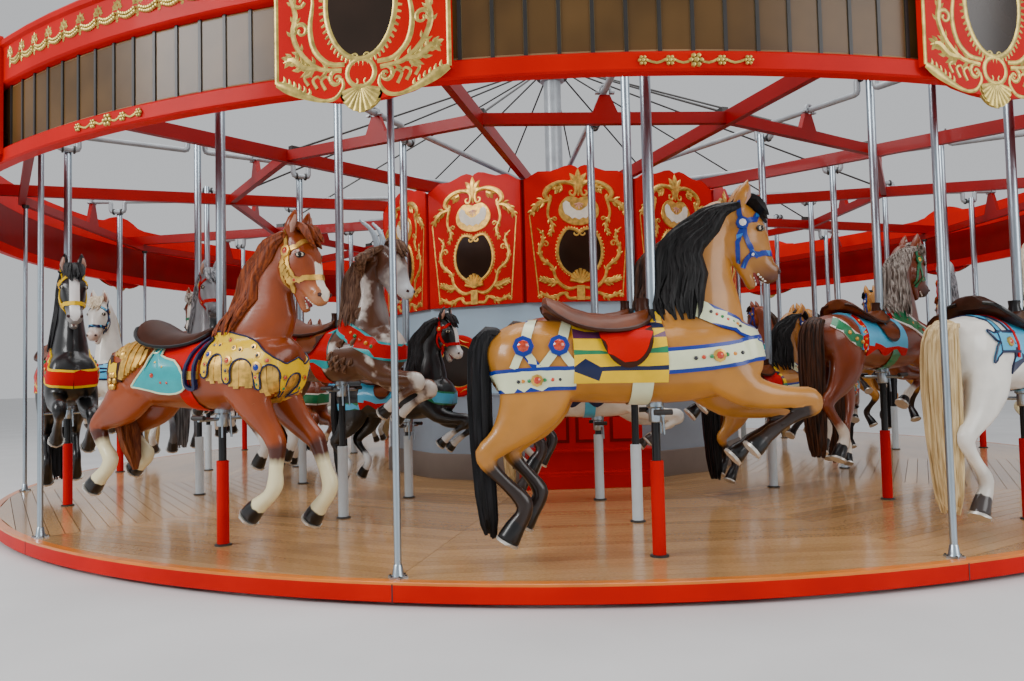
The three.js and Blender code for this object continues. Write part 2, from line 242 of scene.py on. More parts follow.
WAINSCOT = enamel("wainscot_paint", "93a1b0", 0.5, 0.05, 0.06, 4.0)
PLINTH = enamel("plinth_paint", "786a60", 0.5, 0.05, 0.08, 4.0)
# The panes' bevels get a brighter copy of the smoked mirror colour: a painted highlight.
BEVEL_HIGHLIGHT = looking_glass("bevel_painted_highlight", "9c8a62", 0.2, 0.4)
ROSE = enamel("rose_gilt", "d9a08c", 0.35, 0.2, 0.15, 18.0)
CARTOUCHE = enamel("cartouche_cream", "ece4d2", 0.35, 0.3, 0.10, 18.0)
SLEEVE_WHITE = enamel("sleeve_white", "c9d6dd", 0.3, 0.4, 0.05, 8.0)


# Mesh building

class Build:
    """Collects faces with their materials, then becomes a mesh or an object."""

    def __init__(self, materials=()):
        self.points = []
        self.faces = []
        self.marks = []
        self.materials = list(materials)

    def mark(self, material):
        """The material's place in the list, which it joins when it is new."""
        if material not in self.materials:
            self.materials.append(material)
        return self.materials.index(material)

    def add(self, points, faces, material, matrix=None):
        start = len(self.points)
        self.points += [matrix @ Vector(p) if matrix else Vector(p) for p in points]
        self.faces += [[start + i for i in face] for face in faces]
        self.marks += [self.mark(material)] * len(faces)

    def copies(self, other, matrices):
        for matrix in matrices:
            start = len(self.points)
            self.points += [matrix @ p for p in other.points]
            self.faces += [[start + i for i in face] for face in other.faces]
            self.marks += [self.mark(other.materials[mark]) for mark in other.marks]

    def mesh(self, name):
        mesh = bpy.data.meshes.new(name)
        mesh.from_pydata([tuple(p) for p in self.points], [], self.faces)
        for material in self.materials:
            mesh.materials.append(material)
        mesh.polygons.foreach_set("material_index", self.marks)
        return mesh

    def make(self, name, body, replaces=()):
        mesh = self.mesh(name)
        mesh.validate()
        return link_object(name, smoothed(mesh, 35), body, replaces=replaces)


def smoothed(mesh, sharp):
    """The mesh shaded smooth, except at edges sharper than an angle in degrees."""
    mesh.shade_smooth()
    mesh.set_sharp_from_angle(angle=math.radians(sharp))
    return mesh


def link_object(name, mesh, body, matrix=None, replaces=()):
    """Object that rides on a node of the frame and may replace some of its nodes."""
    piece = bpy.data.objects.new(name, mesh)
    bpy.context.scene.collection.objects.link(piece)
    if matrix:
        piece.matrix_world = matrix
    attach(piece, body)
    if replaces:
        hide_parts(*replaces)
    return piece


def around(angle):
    """Turn about the mast."""
    return Matrix.Rotation(angle, 4, "Z")


def at_sweeps():
    """Turns that bring a drawing at -Y to each sweep."""
    return [around(i * BAY) for i in range(BAYS)]


def at_bays():
    """Turns that bring a drawing at -Y to the middle of each bay."""
    return [around((i + 0.5) * BAY) for i in range(BAYS)]


def polar(radius, angle, z):
    """Point at an angle round the mast, counted from -Y."""
    return Vector((radius * math.sin(angle), -radius * math.cos(angle), z))


def box(build, centre, size, material, matrix=None):
    """Upright block round its centre."""
    cx, cy, cz = centre
    hx, hy, hz = (s / 2 for s in size)
    points = [(cx + sx * hx, cy + sy * hy, cz + sz * hz)
              for sx in (-1, 1) for sy in (-1, 1) for sz in (-1, 1)]
    faces = [(0, 1, 3, 2), (4, 6, 7, 5), (0, 4, 5, 1), (2, 3, 7, 6), (0, 2, 6, 4), (1, 5, 7, 3)]
    build.add(points, faces, material, matrix)


def ring_faces(rings, size, sides=None):
    """Quads between rings of size points, on some of their sides or all round."""
    faces = []
    for i in range(rings - 1):
        for j in range(sides or size):
            k = (j + 1) % size
            faces.append((i * size + j, i * size + k, (i + 1) * size + k, (i + 1) * size + j))
    return faces


def end_faces(rings, size):
    """Flat ends on the first and the last ring."""
    last = (rings - 1) * size
    return [tuple(reversed(range(size))), tuple(last + i for i in range(size))]


def turned_points(centre, profile, steps):
    """Rings of points about the vertical through centre, one for each (radius, z)."""
    cx, cy, cz = centre
    points = []
    for radius, z in profile:
        points += [(cx + radius * math.sin(2 * math.pi * i / steps),
                    cy - radius * math.cos(2 * math.pi * i / steps), cz + z) for i in range(steps)]
    return points


def turned_ring(build, profile, steps, material):
    """Closed profile of (radius, z) turned about Z."""
    points = []
    faces = []
    count = len(profile)
    for i in range(steps):
        points += [polar(r, 2 * math.pi * i / steps, z) for r, z in profile]
        following = (i + 1) % steps
        for j in range(count):
            k = (j + 1) % count
            faces.append((i * count + j, following * count + j, following * count + k, i * count + k))
    build.add(points, faces, material)


def spun(build, centre, profile, steps, material, matrix=None):
    """Closed solid of revolution about the vertical through centre, from bottom to top."""
    faces = ring_faces(len(profile), steps) + end_faces(len(profile), steps)
    build.add(turned_points(centre, profile, steps), faces, material, matrix)


def tube(build, path, radii, material, sides=8, matrix=None, flatten=1.0, up=None, half=False):
    """Tube along a path, or its upper half, flattened along up. radii is one number or one per point."""
    arc = math.pi if half else 2 * math.pi
    ring = sides + 1 if half else sides
    path = [Vector(p) for p in path]
    count = len(path)
    if not hasattr(radii, "__len__"):
        radii = [radii] * count
    points = []
    side = None
    for i, here in enumerate(path):
        along = (path[min(i + 1, count - 1)] - path[max(i - 1, 0)]).normalized()
        if up is not None:
            side = along.cross(Vector(up)).normalized()
            normal = side.cross(along).normalized()
        else:
            if side is None:
                side = along.orthogonal().normalized()
            side = (side - along * side.dot(along)).normalized()
            normal = along.cross(side).normalized()
        for j in range(ring):
            turn = arc * j / sides
            offset = side * (math.cos(turn) * radii[i]) + normal * (math.sin(turn) * radii[i] * flatten)
            points.append(here + offset)
    faces = ring_faces(count, ring, sides) + end_faces(count, ring)
    build.add(points, faces, material, matrix)


def smooth_path(controls, steps):
    """Catmull-Rom curve through the control points, with steps points a span."""
    controls = [Vector(c) for c in controls]
    ends = [controls[0] * 2 - controls[1]] + controls + [controls[-1] * 2 - controls[-2]]
    made = []
    for i in range(1, len(ends) - 2):
        a, b, c, d = ends[i - 1], ends[i], ends[i + 1], ends[i + 2]
        for k in range(steps):
            t = k / steps
            made.append(0.5 * ((2 * b) + (c - a) * t + (2 * a - 5 * b + 4 * c - d) * t * t
                               + (3 * b - a - 3 * c + d) * t ** 3))
    made.append(controls[-1])
    return made


# Stage, camera and light

def place_camera():
    """The photograph's view, from the camera's place and heading round the carousel."""
    focal = 802.2
    image_width = 1024
    angle = math.radians(8.634)
    distance = 8.770
    height = 1.030
    yaw = math.radians(-11.97)
    pitch = math.radians(2.52)
    roll = math.radians(-1.35)
    ahead = Vector((math.sin(yaw) * math.cos(pitch), math.cos(yaw) * math.cos(pitch), math.sin(pitch)))
    right = Vector((math.cos(yaw), -math.sin(yaw), 0))
    up = right.cross(ahead)
    right, up = (right * math.cos(roll) + up * math.sin(roll), up * math.cos(roll) - right * math.sin(roll))
    data = bpy.data.cameras.new("camera")
    data.sensor_width = 36.0
    data.lens = focal * data.sensor_width / image_width
    camera = bpy.data.objects.new("camera", data)
    bpy.context.scene.collection.objects.link(camera)
    turn = Matrix((right, up, -ahead)).transposed().to_4x4()
    camera.matrix_world = Matrix.Translation(polar(distance, angle, height)) @ turn
    bpy.context.scene.camera = camera


def place_stage():
    """Pale floor, soft light from all round and three area lights."""
    made, tree, main = shader("pale_floor", 0.6)
    grain = noise(tree, coordinates(tree), 1.5, 2.0)
    tones = ramp(tree, grain, "Fac", [(0.3, (0.60, 0.60, 0.60, 1)), (0.7, (0.66, 0.66, 0.66, 1))])
    link(tree, tones, "Color", main, "Base Color")
    mesh = bpy.data.meshes.new("floor")
    reach = 60
    mesh.from_pydata([(-reach, -reach, 0), (reach, -reach, 0), (reach, reach, 0), (-reach, reach, 0)], [],
                     [(0, 1, 2, 3)])
    mesh.materials.append(made)
    floor = bpy.data.objects.new("floor", mesh)
    bpy.context.scene.collection.objects.link(floor)
    world = bpy.data.worlds.new("studio")
    world.use_nodes = True
    world.node_tree.nodes["Background"].inputs["Color"].default_value = (0.95, 0.97, 1.0, 1)
    world.node_tree.nodes["Background"].inputs["Strength"].default_value = 0.62
    bpy.context.scene.world = world
    for name, place, aim, size, power in (
        ("key", (-9.0, -12.0, 7.5), (0, -3, 1.2), 5.0, 1100),
        ("fill", (10.0, -9.0, 5.0), (0, -3, 1.2), 6.0, 500),
        ("top", (0.0, -2.0, 10.0), (0, -1, 0), 9.0, 800),
    ):
        data = bpy.data.lights.new(name, "AREA")
        data.size = size
        data.energy = power
        lamp = bpy.data.objects.new(name, data)
        lamp.location = place
        lamp.rotation_euler = (Vector(aim) - Vector(place)).to_track_quat("-Z", "Y").to_euler()
        bpy.context.scene.collection.objects.link(lamp)


# Deck boards

def deck_boards():
    """Boards laid across each bay, with a thin gap between them."""
    pick = random.Random(4)
    points = []
    faces = []
    shades = []
    board = 0.085
    gap = 0.0042
    joint = 0.0015
    chord = math.cos(BAY / 2)
    first = (DECK_HOLE_R + 0.02) * chord
    last = DECK_R - 0.05
    count = int((last - first) / board)
    bottom = DECK_TOP - 0.030
    top = DECK_TOP + 0.001
    size = 4
    for bay in range(BAYS):
        turn = around((bay + 0.5) * BAY)
        for i in range(count):
            near = first + i * board + gap / 2
            far = near + board - gap
            limits = []
            for r in (near, far):
                limit = math.tan(BAY / 2) * r - joint
                if r > last:
                    limit = 0
                elif r / chord > last:
                    limit = min(limit, math.sqrt(last * last - r * r))
                limits.append(limit)
            one, two = limits
            outline = [(-one, -near), (one, -near), (two, -far), (-two, -far)]
            start = len(points)
            for z in (bottom, top):
                points.extend(turn @ Vector((x, y, z)) for x, y in outline)
            faces.append([start + j for j in range(size)])
            faces.append([start + size + j for j in reversed(range(size))])
            for j in range(size):
                k = (j + 1) % size
                faces.append([start + k, start + j, start + size + j, start + size + k])
            shades.extend([pick.random()] * (size + 2))
    mesh = bpy.data.meshes.new("deck_boards")
    mesh.from_pydata([tuple(p) for p in points], [], faces)
    mesh.materials.append(PLANKS)
    colours = mesh.attributes.new("shade", "FLOAT", "FACE")
    colours.data.foreach_set("value", shades)
    mesh.update()
    fix = bmesh.new()
    fix.from_mesh(mesh)
    bmesh.ops.recalc_face_normals(fix, faces=fix.faces)
    fix.to_mesh(mesh)
    fix.free()
    sections = [f"deck_section_{i}" for i in range(1, 5)]
    link_object("deck_boards", mesh, TURN, replaces=sections)


# Animals: stations are (x, z, half depth, half width) in metres from the pole and the lowest hoof,
# for a full-size horse that faces +X with its outer side towards -Y

TRUNK = [
    (-0.850, 0.900, 0.060, 0.050), (-0.815, 0.905, 0.130, 0.110), (-0.690, 0.905, 0.190, 0.175),
    (-0.500, 0.900, 0.203, 0.200), (-0.300, 0.885, 0.200, 0.195), (-0.050, 0.878, 0.205, 0.200),
    (0.150, 0.885, 0.205, 0.200), (0.300, 0.905, 0.200, 0.185), (0.430, 0.925, 0.175, 0.150),
    (0.515, 0.930, 0.120, 0.100), (0.550, 0.930, 0.050, 0.040),
]
NECK = [
    (0.200, 0.960, 0.250, 0.130), (0.235, 1.100, 0.240, 0.125), (0.250, 1.200, 0.205, 0.108),
    (0.255, 1.310, 0.165, 0.090), (0.270, 1.420, 0.142, 0.078), (0.300, 1.520, 0.122, 0.070),
    (0.350, 1.595, 0.105, 0.062), (0.405, 1.630, 0.085, 0.052),
]
HEAD = [
    (0.390, 1.620, 0.062, 0.055), (0.450, 1.600, 0.100, 0.074), (0.492, 1.520, 0.116, 0.084),
    (0.530, 1.440, 0.098, 0.070), (0.566, 1.378, 0.072, 0.055), (0.598, 1.332, 0.058, 0.050),
    (0.618, 1.300, 0.046, 0.046), (0.628, 1.276, 0.028, 0.034),
]
JAW = [
    (0.455, 1.425, 0.060, 0.050), (0.480, 1.350, 0.038, 0.038), (0.500, 1.298, 0.027, 0.034),
    (0.516, 1.262, 0.026, 0.032), (0.526, 1.244, 0.015, 0.022),
]
FORE_LEG = [
    (0.330, 0.850, 0.150, 0.075), (0.440, 0.735, 0.095, 0.068), (0.560, 0.700, 0.068, 0.052),
    (0.680, 0.690, 0.055, 0.046), (0.755, 0.685, 0.055, 0.048), (0.770, 0.640, 0.044, 0.042),
    (0.700, 0.610, 0.033, 0.030), (0.610, 0.560, 0.029, 0.028), (0.555, 0.525, 0.038, 0.034),
    (0.525, 0.500, 0.036, 0.034), (0.490, 0.470, 0.048, 0.044), (0.455, 0.440, 0.056, 0.050),
]
HIND_OUTER = [
    (-0.600, 0.840, 0.190, 0.090), (-0.625, 0.720, 0.175, 0.088), (-0.700, 0.600, 0.120, 0.070),
    (-0.790, 0.510, 0.070, 0.050), (-0.860, 0.450, 0.056, 0.045), (-0.835, 0.385, 0.040, 0.036),
    (-0.760, 0.305, 0.034, 0.031), (-0.685, 0.225, 0.044, 0.038), (-0.680, 0.165, 0.040, 0.037),
    (-0.725, 0.100, 0.050, 0.045), (-0.765, 0.030, 0.060, 0.053),
]
HIND_INNER = [
    (-0.560, 0.840, 0.180, 0.090), (-0.560, 0.710, 0.160, 0.085), (-0.600, 0.600, 0.110, 0.068),
    (-0.670, 0.520, 0.068, 0.050), (-0.725, 0.455, 0.054, 0.044), (-0.700, 0.395, 0.040, 0.035),
    (-0.640, 0.325, 0.033, 0.030), (-0.585, 0.250, 0.043, 0.037), (-0.590, 0.195, 0.040, 0.036),
    (-0.635, 0.135, 0.050, 0.045), (-0.675, 0.070, 0.060, 0.052),
]
LEG_SIDE = 0.105
FORE_INNER = [(x - 0.030, z - 0.055, d, w) for x, z, d, w in FORE_LEG]
PRANCING = [(FORE_LEG, -LEG_SIDE), (FORE_INNER, LEG_SIDE), (HIND_OUTER, -LEG_SIDE), (HIND_INNER, LEG_SIDE)]
STRIDE_FORE_OUTER = [
    (0.270, 0.830, 0.150, 0.080), (0.330, 0.735, 0.120, 0.072), (0.405, 0.640, 0.085, 0.060),
    (0.465, 0.570, 0.064, 0.052), (0.505, 0.505, 0.058, 0.050), (0.510, 0.445, 0.044, 0.042),
    (0.500, 0.360, 0.038, 0.035), (0.495, 0.290, 0.046, 0.041), (0.465, 0.235, 0.040, 0.038),
    (0.405, 0.190, 0.042, 0.041), (0.350, 0.150, 0.054, 0.050), (0.305, 0.105, 0.060, 0.054),
]
STRIDE_FORE_INNER = [
    (0.290, 0.830, 0.150, 0.080), (0.370, 0.720, 0.120, 0.072), (0.460, 0.620, 0.085, 0.060),
    (0.535, 0.555, 0.066, 0.052), (0.590, 0.510, 0.058, 0.052), (0.620, 0.450, 0.045, 0.043),
    (0.655, 0.355, 0.039, 0.036), (0.688, 0.275, 0.047, 0.041), (0.675, 0.215, 0.041, 0.039),
    (0.625, 0.160, 0.043, 0.041), (0.585, 0.110, 0.054, 0.050), (0.555, 0.066, 0.060, 0.054),
]
STRIDE_HIND_OUTER = [
    (-0.600, 0.840, 0.190, 0.090), (-0.680, 0.740, 0.150, 0.085), (-0.790, 0.670, 0.105, 0.070),
    (-0.880, 0.625, 0.070, 0.055), (-0.925, 0.580, 0.060, 0.052), (-0.905, 0.520, 0.048, 0.044),
    (-0.865, 0.450, 0.042, 0.038), (-0.815, 0.385, 0.050, 0.043), (-0.850, 0.325, 0.043, 0.040),
    (-0.900, 0.285, 0.045, 0.042), (-0.945, 0.245, 0.054, 0.050), (-0.985, 0.205, 0.060, 0.054),
]
STRIDE_HIND_INNER = [
    (-0.570, 0.840, 0.180, 0.090), (-0.650, 0.720, 0.140, 0.085), (-0.760, 0.640, 0.100, 0.070),
    (-0.845, 0.590, 0.068, 0.055), (-0.885, 0.545, 0.058, 0.050), (-0.860, 0.495, 0.047, 0.043),
    (-0.805, 0.445, 0.042, 0.038), (-0.760, 0.405, 0.049, 0.043), (-0.775, 0.365, 0.043, 0.040),
    (-0.815, 0.345, 0.045, 0.042), (-0.845, 0.325, 0.053, 0.050), (-0.880, 0.300, 0.058, 0.053),
]
STRIDING = [(STRIDE_FORE_OUTER, -LEG_SIDE), (STRIDE_FORE_INNER, LEG_SIDE),
            (STRIDE_HIND_OUTER, -LEG_SIDE), (STRIDE_HIND_INNER, LEG_SIDE)]
POSES = {"horse": PRANCING, "strider": STRIDING, "goat": PRANCING}
STRIDE_TAIL = [
    (-0.770, 1.020, 0.042), (-0.825, 1.020, 0.056), (-0.855, 0.920, 0.064), (-0.850, 0.780, 0.066),
    (-0.820, 0.620, 0.062), (-0.780, 0.470, 0.052), (-0.745, 0.380, 0.032), (-0.735, 0.340, 0.012),
]
TAIL = [
    (-0.770, 1.025, 0.042), (-0.830, 1.045, 0.060), (-0.875, 0.960, 0.075), (-0.885, 0.760, 0.080),
    (-0.880, 0.520, 0.078), (-0.868, 0.300, 0.070), (-0.852, 0.130, 0.058), (-0.845, 0.060, 0.040),
]
GOAT_TAIL = TAIL[:3] + [(-0.930, 0.900, 0.030), (-0.950, 0.860, 0.010)]
MANE_BACK = [
    (0.420, 1.668), (0.340, 1.655), (0.250, 1.612), (0.150, 1.560), (0.085, 1.470), (0.035, 1.360),
    (0.012, 1.220), (0.050, 1.085),
]
MANE_FRONT = [
    (0.440, 1.660), (0.375, 1.622), (0.300, 1.550), (0.245, 1.460), (0.222, 1.370), (0.226, 1.280),
    (0.236, 1.190), (0.180, 1.090),
]
# Mesh sizes, the stored zones, and where coats and tack lie: FLANK and CHEEK are beside the body
VOXEL = 0.010
FIGURE_FACES = 3400
HAIR_SHARE = 0.52
HAIR_SHARP = 50
TACK_SHARE = 0.60
TACK_SHARP = 40
ZONES = ("leg", "muzzle", "blaze")
MUZZLE = Vector((0.625, 0, 1.28))
HOOF_FROM = 0.865
CORE_Z = 0.88
FLANK = 0.3
CHEEK = 0.16
SUNK = 0.004
QUAD = (0, 1, 2, 3)


def leg_path(stations, side):
    """A leg's points, and its half depths and widths."""
    return [Vector((x, side, z)) for x, z, _, _ in stations], [(d, w) for _, _, d, w in stations]


def loft(build, path, halves, material):
    """Smooth body through stations in the XZ plane, each an ellipse across the path."""
    steps = 3
    sides = 18
    spine = smooth_path(path, steps)
    sizes = smooth_path([Vector((d, w, 0)) for d, w in halves], steps)
    points = []
    count = len(spine)
    for i, here in enumerate(spine):
        along = (spine[min(i + 1, count - 1)] - spine[max(i - 1, 0)]).normalized()
        across = Vector((-along.z, 0, along.x))
        for j in range(sides):
            turn = 2 * math.pi * j / sides
            points.append(here + across * (math.cos(turn) * sizes[i].x)
                          + Vector((0, math.sin(turn) * sizes[i].y, 0)))
    build.add(points, ring_faces(count, sides) + end_faces(count, sides), material)


def blob(build, centre, radii, material, turn=0.0):
    """Rounded lump, tilted in the XZ plane."""
    rings = 8
    sides = 12
    spin = Matrix.Rotation(turn, 4, "Y")
    points = []
    for i in range(rings + 1):
        up = math.pi * i / rings - math.pi / 2
        for j in range(sides):
            angle = 2 * math.pi * j / sides
            offset = Vector((radii[0] * math.cos(up) * math.cos(angle),
                             radii[1] * math.cos(up) * math.sin(angle), radii[2] * math.sin(up)))
            points.append(Vector(centre) + spin @ offset)
    build.add(points, ring_faces(rings + 1, sides), material)


def evaluated(piece):
    """A new mesh from the object with its modifiers applied."""
    graph = bpy.context.evaluated_depsgraph_get()
    return bpy.data.meshes.new_from_object(piece.evaluated_get(graph))


def thinned(mesh, share, sharp):
    """The mesh with a share of its faces, its flattest edges collapsed first."""
    piece = bpy.data.objects.new("thinning", mesh)
    bpy.context.scene.collection.objects.link(piece)
    piece.modifiers.new("thin", "DECIMATE").ratio = share
    made = evaluated(piece)
    bpy.data.objects.remove(piece)
    bpy.data.meshes.remove(mesh)
    return smoothed(made, sharp)


def body_mesh(kind):
    """One continuous carved body: trunk, neck, head, ears and legs fused, smoothed and thinned."""
    goat = kind == "goat"
    build = Build()
    for stations in (TRUNK, NECK, HEAD, JAW):
        if goat and stations is NECK:
            stations = [(x, z, d * 0.9, w) for x, z, d, w in stations]
        loft(build, [(x, 0, z) for x, z, _, _ in stations], [(d, w) for _, _, d, w in stations], WHITE)
    for stations, side in POSES[kind]:
        loft(build, *leg_path(stations, side), WHITE)
    for side in (-1, 1):
        blob(build, (0.462, side * 0.042, 1.475), (0.090, 0.048, 0.098), WHITE)
        blob(build, (0.540, side * 0.058, 1.555), (0.048, 0.026, 0.030), WHITE, 0.9)
        blob(build, (0.618, side * 0.032, 1.330), (0.036, 0.026, 0.042), WHITE, 0.4)
        blob(build, (0.440, side * 0.080, 0.900), (0.100, 0.085, 0.150), WHITE)
        blob(build, (-0.640, side * 0.085, 0.900), (0.190, 0.105, 0.180), WHITE)
        if goat:
            tube(build, [(0.36, side * 0.07, 1.60), (0.31, side * 0.14, 1.58), (0.27, side * 0.19, 1.53)],
                 [0.028, 0.034, 0.008], WHITE, 10)
        else:
            ear = [(0.445, side * 0.046, 1.660), (0.462, side * 0.054, 1.700),
                   (0.482, side * 0.056, 1.750), (0.502, side * 0.052, 1.800)]
            tube(build, ear, [0.028, 0.036, 0.028, 0.007], WHITE, 10)
    piece = build.make("carving", TURN)
    remesh = piece.modifiers.new("fuse", "REMESH")
    remesh.mode = "VOXEL"
    remesh.voxel_size = VOXEL
    smoothing = piece.modifiers.new("smooth", "SMOOTH")
    smoothing.factor = 0.5
    smoothing.iterations = 7
    thin = piece.modifiers.new("thin", "DECIMATE")
    thin.ratio = min(1.0, FIGURE_FACES / len(evaluated(piece).polygons))
    made = evaluated(piece)
    bpy.data.objects.remove(piece)
    made.name = f"{kind}_body"
    made.materials.clear()
    made.shade_smooth()
    paint_zones(made, kind)
    return made


# Coats and hair

def paint_zones(mesh, kind):
    """Store how far down its leg each point lies, and its nearness to the muzzle and the blaze."""
    legs = []
    for stations, side in POSES[kind]:
        path, halves = leg_path(stations, side)
        spine = smooth_path(path, 6)
        sizes = smooth_path([Vector((d, w, 0)) for d, w in halves], 6)
        legs.append((spine, sizes))
    reach = 0.40 if kind == "goat" else 0.22
    down = []
    muzzle = []
    blaze = []
    for vertex in mesh.vertices:
        here = vertex.co
        best = 0.0
        if here.z < 0.80:
            for spine, sizes in legs:
                gap, i = min(((here - p).length, i) for i, p in enumerate(spine))
                if gap < sizes[i].x + 0.03:
                    best = max(best, i / (len(spine) - 1))
        down.append(best)
        muzzle.append(max(0.0, 1 - (here - MUZZLE).length / reach))
        front = here.x - 0.425 - (1.70 - here.z) * 0.42
        on_face = front > 0.055 and 1.24 < here.z < (1.50 if kind == "strider" else 1.80)
        blaze.append(max(0.0, 1 - abs(here.y) / 0.05) if on_face else 0.0)
    for name, values in zip(ZONES, (down, muzzle, blaze)):
        field = mesh.attributes.new(name, "FLOAT", "POINT")
        field.data.foreach_set("value", values)


def coat(name, base, sock, hoof, muzzle, blaze=None, sock_from=0.60, patch=None, knee=None):
    """Glossy carved coat; legs, hooves, muzzle and blaze are blended in from the stored zones."""
    made, tree, main = shader(name, 0.32, 0.0, 0.25)
    main.inputs["Specular IOR Level"].default_value = 0.4
    place = coordinates(tree)
    drift = noise(tree, place, 3.2, 4.0)
    tone = srgb(base)
    light = shade(tone, 1.18)
    dark = shade(tone, 0.80)
    stops = [(0.35, dark), (0.65, light)]
    if patch:
        stops = [(0.40, srgb(patch)), (0.46, tone)]
    mixed = ramp(tree, drift, "Fac", stops)
    out = mixed
    socket = "Color"
    layers = [("leg", sock_from, sock_from + 0.05, sock), ("leg", HOOF_FROM, HOOF_FROM + 0.01, hoof),
              ("muzzle", 0.30, 0.75, muzzle)]
    if knee:
        layers.insert(0, ("leg", sock_from - 0.11, sock_from - 0.06, knee))
    if blaze:
        layers.append(("blaze", 0.30, 0.38, blaze))
    for field, low, high, colour in layers:
        own = tree.nodes.new("ShaderNodeAttribute")
        own.attribute_name = field
        edge = tree.nodes.new("ShaderNodeMapRange")
        edge.inputs["From Min"].default_value = low
        edge.inputs["From Max"].default_value = high
        link(tree, own, "Fac", edge, "Value")
        mix = tree.nodes.new("ShaderNodeMix")
        mix.data_type = "RGBA"
        link(tree, edge, "Result", mix, 0)
        tree.links.new(out.outputs[socket], mix.inputs[6])
        mix.inputs[7].default_value = srgb(colour)
        out = mix
        socket = 2
    tree.links.new(out.outputs[socket], main.inputs["Base Color"])
    strokes = noise(tree, coordinates(tree, (9, 30, 30)), 2.0, 3.0)
    bump(tree, strokes, "Fac", main, 0.12, 0.004)
    return made


def hair(name, code, streak):
    """Carved or real hair with lengthwise strands."""
    made, tree, main = shader(name, 0.5)
    main.inputs["Specular IOR Level"].default_value = 0.25
    strands = noise(tree, coordinates(tree, (70, 70, 5)), 1.0, 3.0)
    tones = ramp(tree, strands, "Fac", [(0.38, srgb(code)), (0.66, srgb(streak))])
    link(tree, tones, "Color", main, "Base Color")
    bump(tree, strands, "Fac", main, 0.5, 0.006)
    return made


def mane(build, tree, material):
    """Long wavy carved locks from the crest down over the outer side of the neck."""
    side = -1
    pick = random.Random(11)
    back = smooth_path([(x, 0, z) for x, z in MANE_BACK], 4)
    front = smooth_path([(x, 0, z) for x, z in MANE_FRONT], 4)
    last = len(back) - 1
    locks = []
    full_locks = 9
    short_locks = 26
    for i in range(full_locks):
        locks.append((i / (full_locks - 1), 0, last - pick.randint(0, 1), 0.032, 0.006))
    for _ in range(short_locks):
        start = pick.randint(0, 12)
        locks.append((pick.random(), start, min(last, start + pick.randint(14, 22)), 0.017, 0.024))
    for share, start, end, thick, lift in locks:
        phase = pick.random() * 6.3
        path = []
        for k in range(start, end + 1):
            here = back[k].lerp(front[k], share)
            here.x += 0.017 * math.sin(0.62 * k + 2.4 * share + 0.25 * phase)
            hit, _, _, _ = tree.ray_cast(Vector((here.x, side * 0.5, here.z)), Vector((0, -side, 0)))
            here.y = (hit.y if hit else 0.0) + side * lift
            path.append(here)
        for _ in range(3):
            levels = [p.y for p in path]
            for k in range(1, len(path) - 1):
                path[k].y = (levels[k - 1] + 2 * levels[k] + levels[k + 1]) / 4
        path = path[:-1:2] + path[-1:]
        count = len(path) - 1
        radii = [max(0.003, thick * math.sin(math.pi * (0.10 + 0.86 * k / count)) ** 0.7)
                 for k in range(count + 1)]
        tube(build, path, radii, material, 6, flatten=0.7, up=(0, side, 0))
    ridge = [p - Vector((0, 0, 0.012)) for p in back[:22]]
    tube(build, ridge, [0.010] + [0.026] * 20 + [0.010], material, 8)
    half = 3
    for k in range(2 * half + 1):
        turn = (k - half) / half
        drop = 0.018 * (k % 3)
        path = [(0.440, 0.010 * turn, 1.690), (0.490, 0.034 * turn, 1.712),
                (0.548, 0.050 * turn, 1.690 - drop),
                (0.580, 0.056 * turn, 1.640 - drop), (0.604, 0.046 * turn, 1.618 - drop)]
        curl = smooth_path(path, 2)
        radii = [0.022 * math.sin(math.pi * (0.22 + 0.75 * i / 8)) + 0.002 for i in range(len(curl))]
        tube(build, curl, radii, material, 5)


def tail(build, material, kind):
    """Hanging tail: a thick core with a ring of strands round it."""
    pick = random.Random(5)
    stations = {"horse": TAIL, "strider": STRIDE_TAIL, "goat": GOAT_TAIL}[kind]
    spine = smooth_path([(x, 0, z) for x, z, _ in stations], 2)
    sizes = [v.x for v in smooth_path([Vector((r, 0, 0)) for _, _, r in stations], 2)]
    spread = 1.0 if kind == "goat" else 1.35
    tube(build, spine, [0.66 * r for r in sizes], material, 10, flatten=1.25 * spread, up=(0, 1, 0))
    strands = 24
    for i in range(strands):
        angle = 2 * math.pi * i / strands
        phase = pick.random() * 6
        path = []
        for k, here in enumerate(spine):
            share = k / (len(spine) - 1)
            out = sizes[k] * (0.80 + 0.10 * math.sin(phase + 5 * share))
            path.append(here + Vector((math.cos(angle) * out * 0.8, math.sin(angle) * out * spread, 0)))
        path = path[1:]
        path[-1].z += 0.025 * math.sin(phase)
        radii = [0.014 * (1 - 0.4 * k / len(path)) for k in range(len(path))]
        tube(build, path, radii, material, 4)


# Tack, laid on the carving

def nearest(tree, point, lift=0.0):
    """The nearest place on the carving and its normal."""
    place, normal, _, _ = tree.find_nearest(Vector(point))
    return place + normal * lift, normal


def laid(tree, point, way):
    """Where a strap point lies on the carving: pushed level to the body's core, over it, or nearest."""
    point = Vector(point)
    if way == "near":
        return nearest(tree, point)
    core = Vector((min(0.40, max(-0.66, point.x)), 0, point.z if way == "level" else CORE_Z))
    away = (point - core).normalized()
    hit, normal, _, _ = tree.ray_cast(core + away * 1.2, -away)
    if hit is None:
        return nearest(tree, point)
    return hit, (normal + away).normalized()


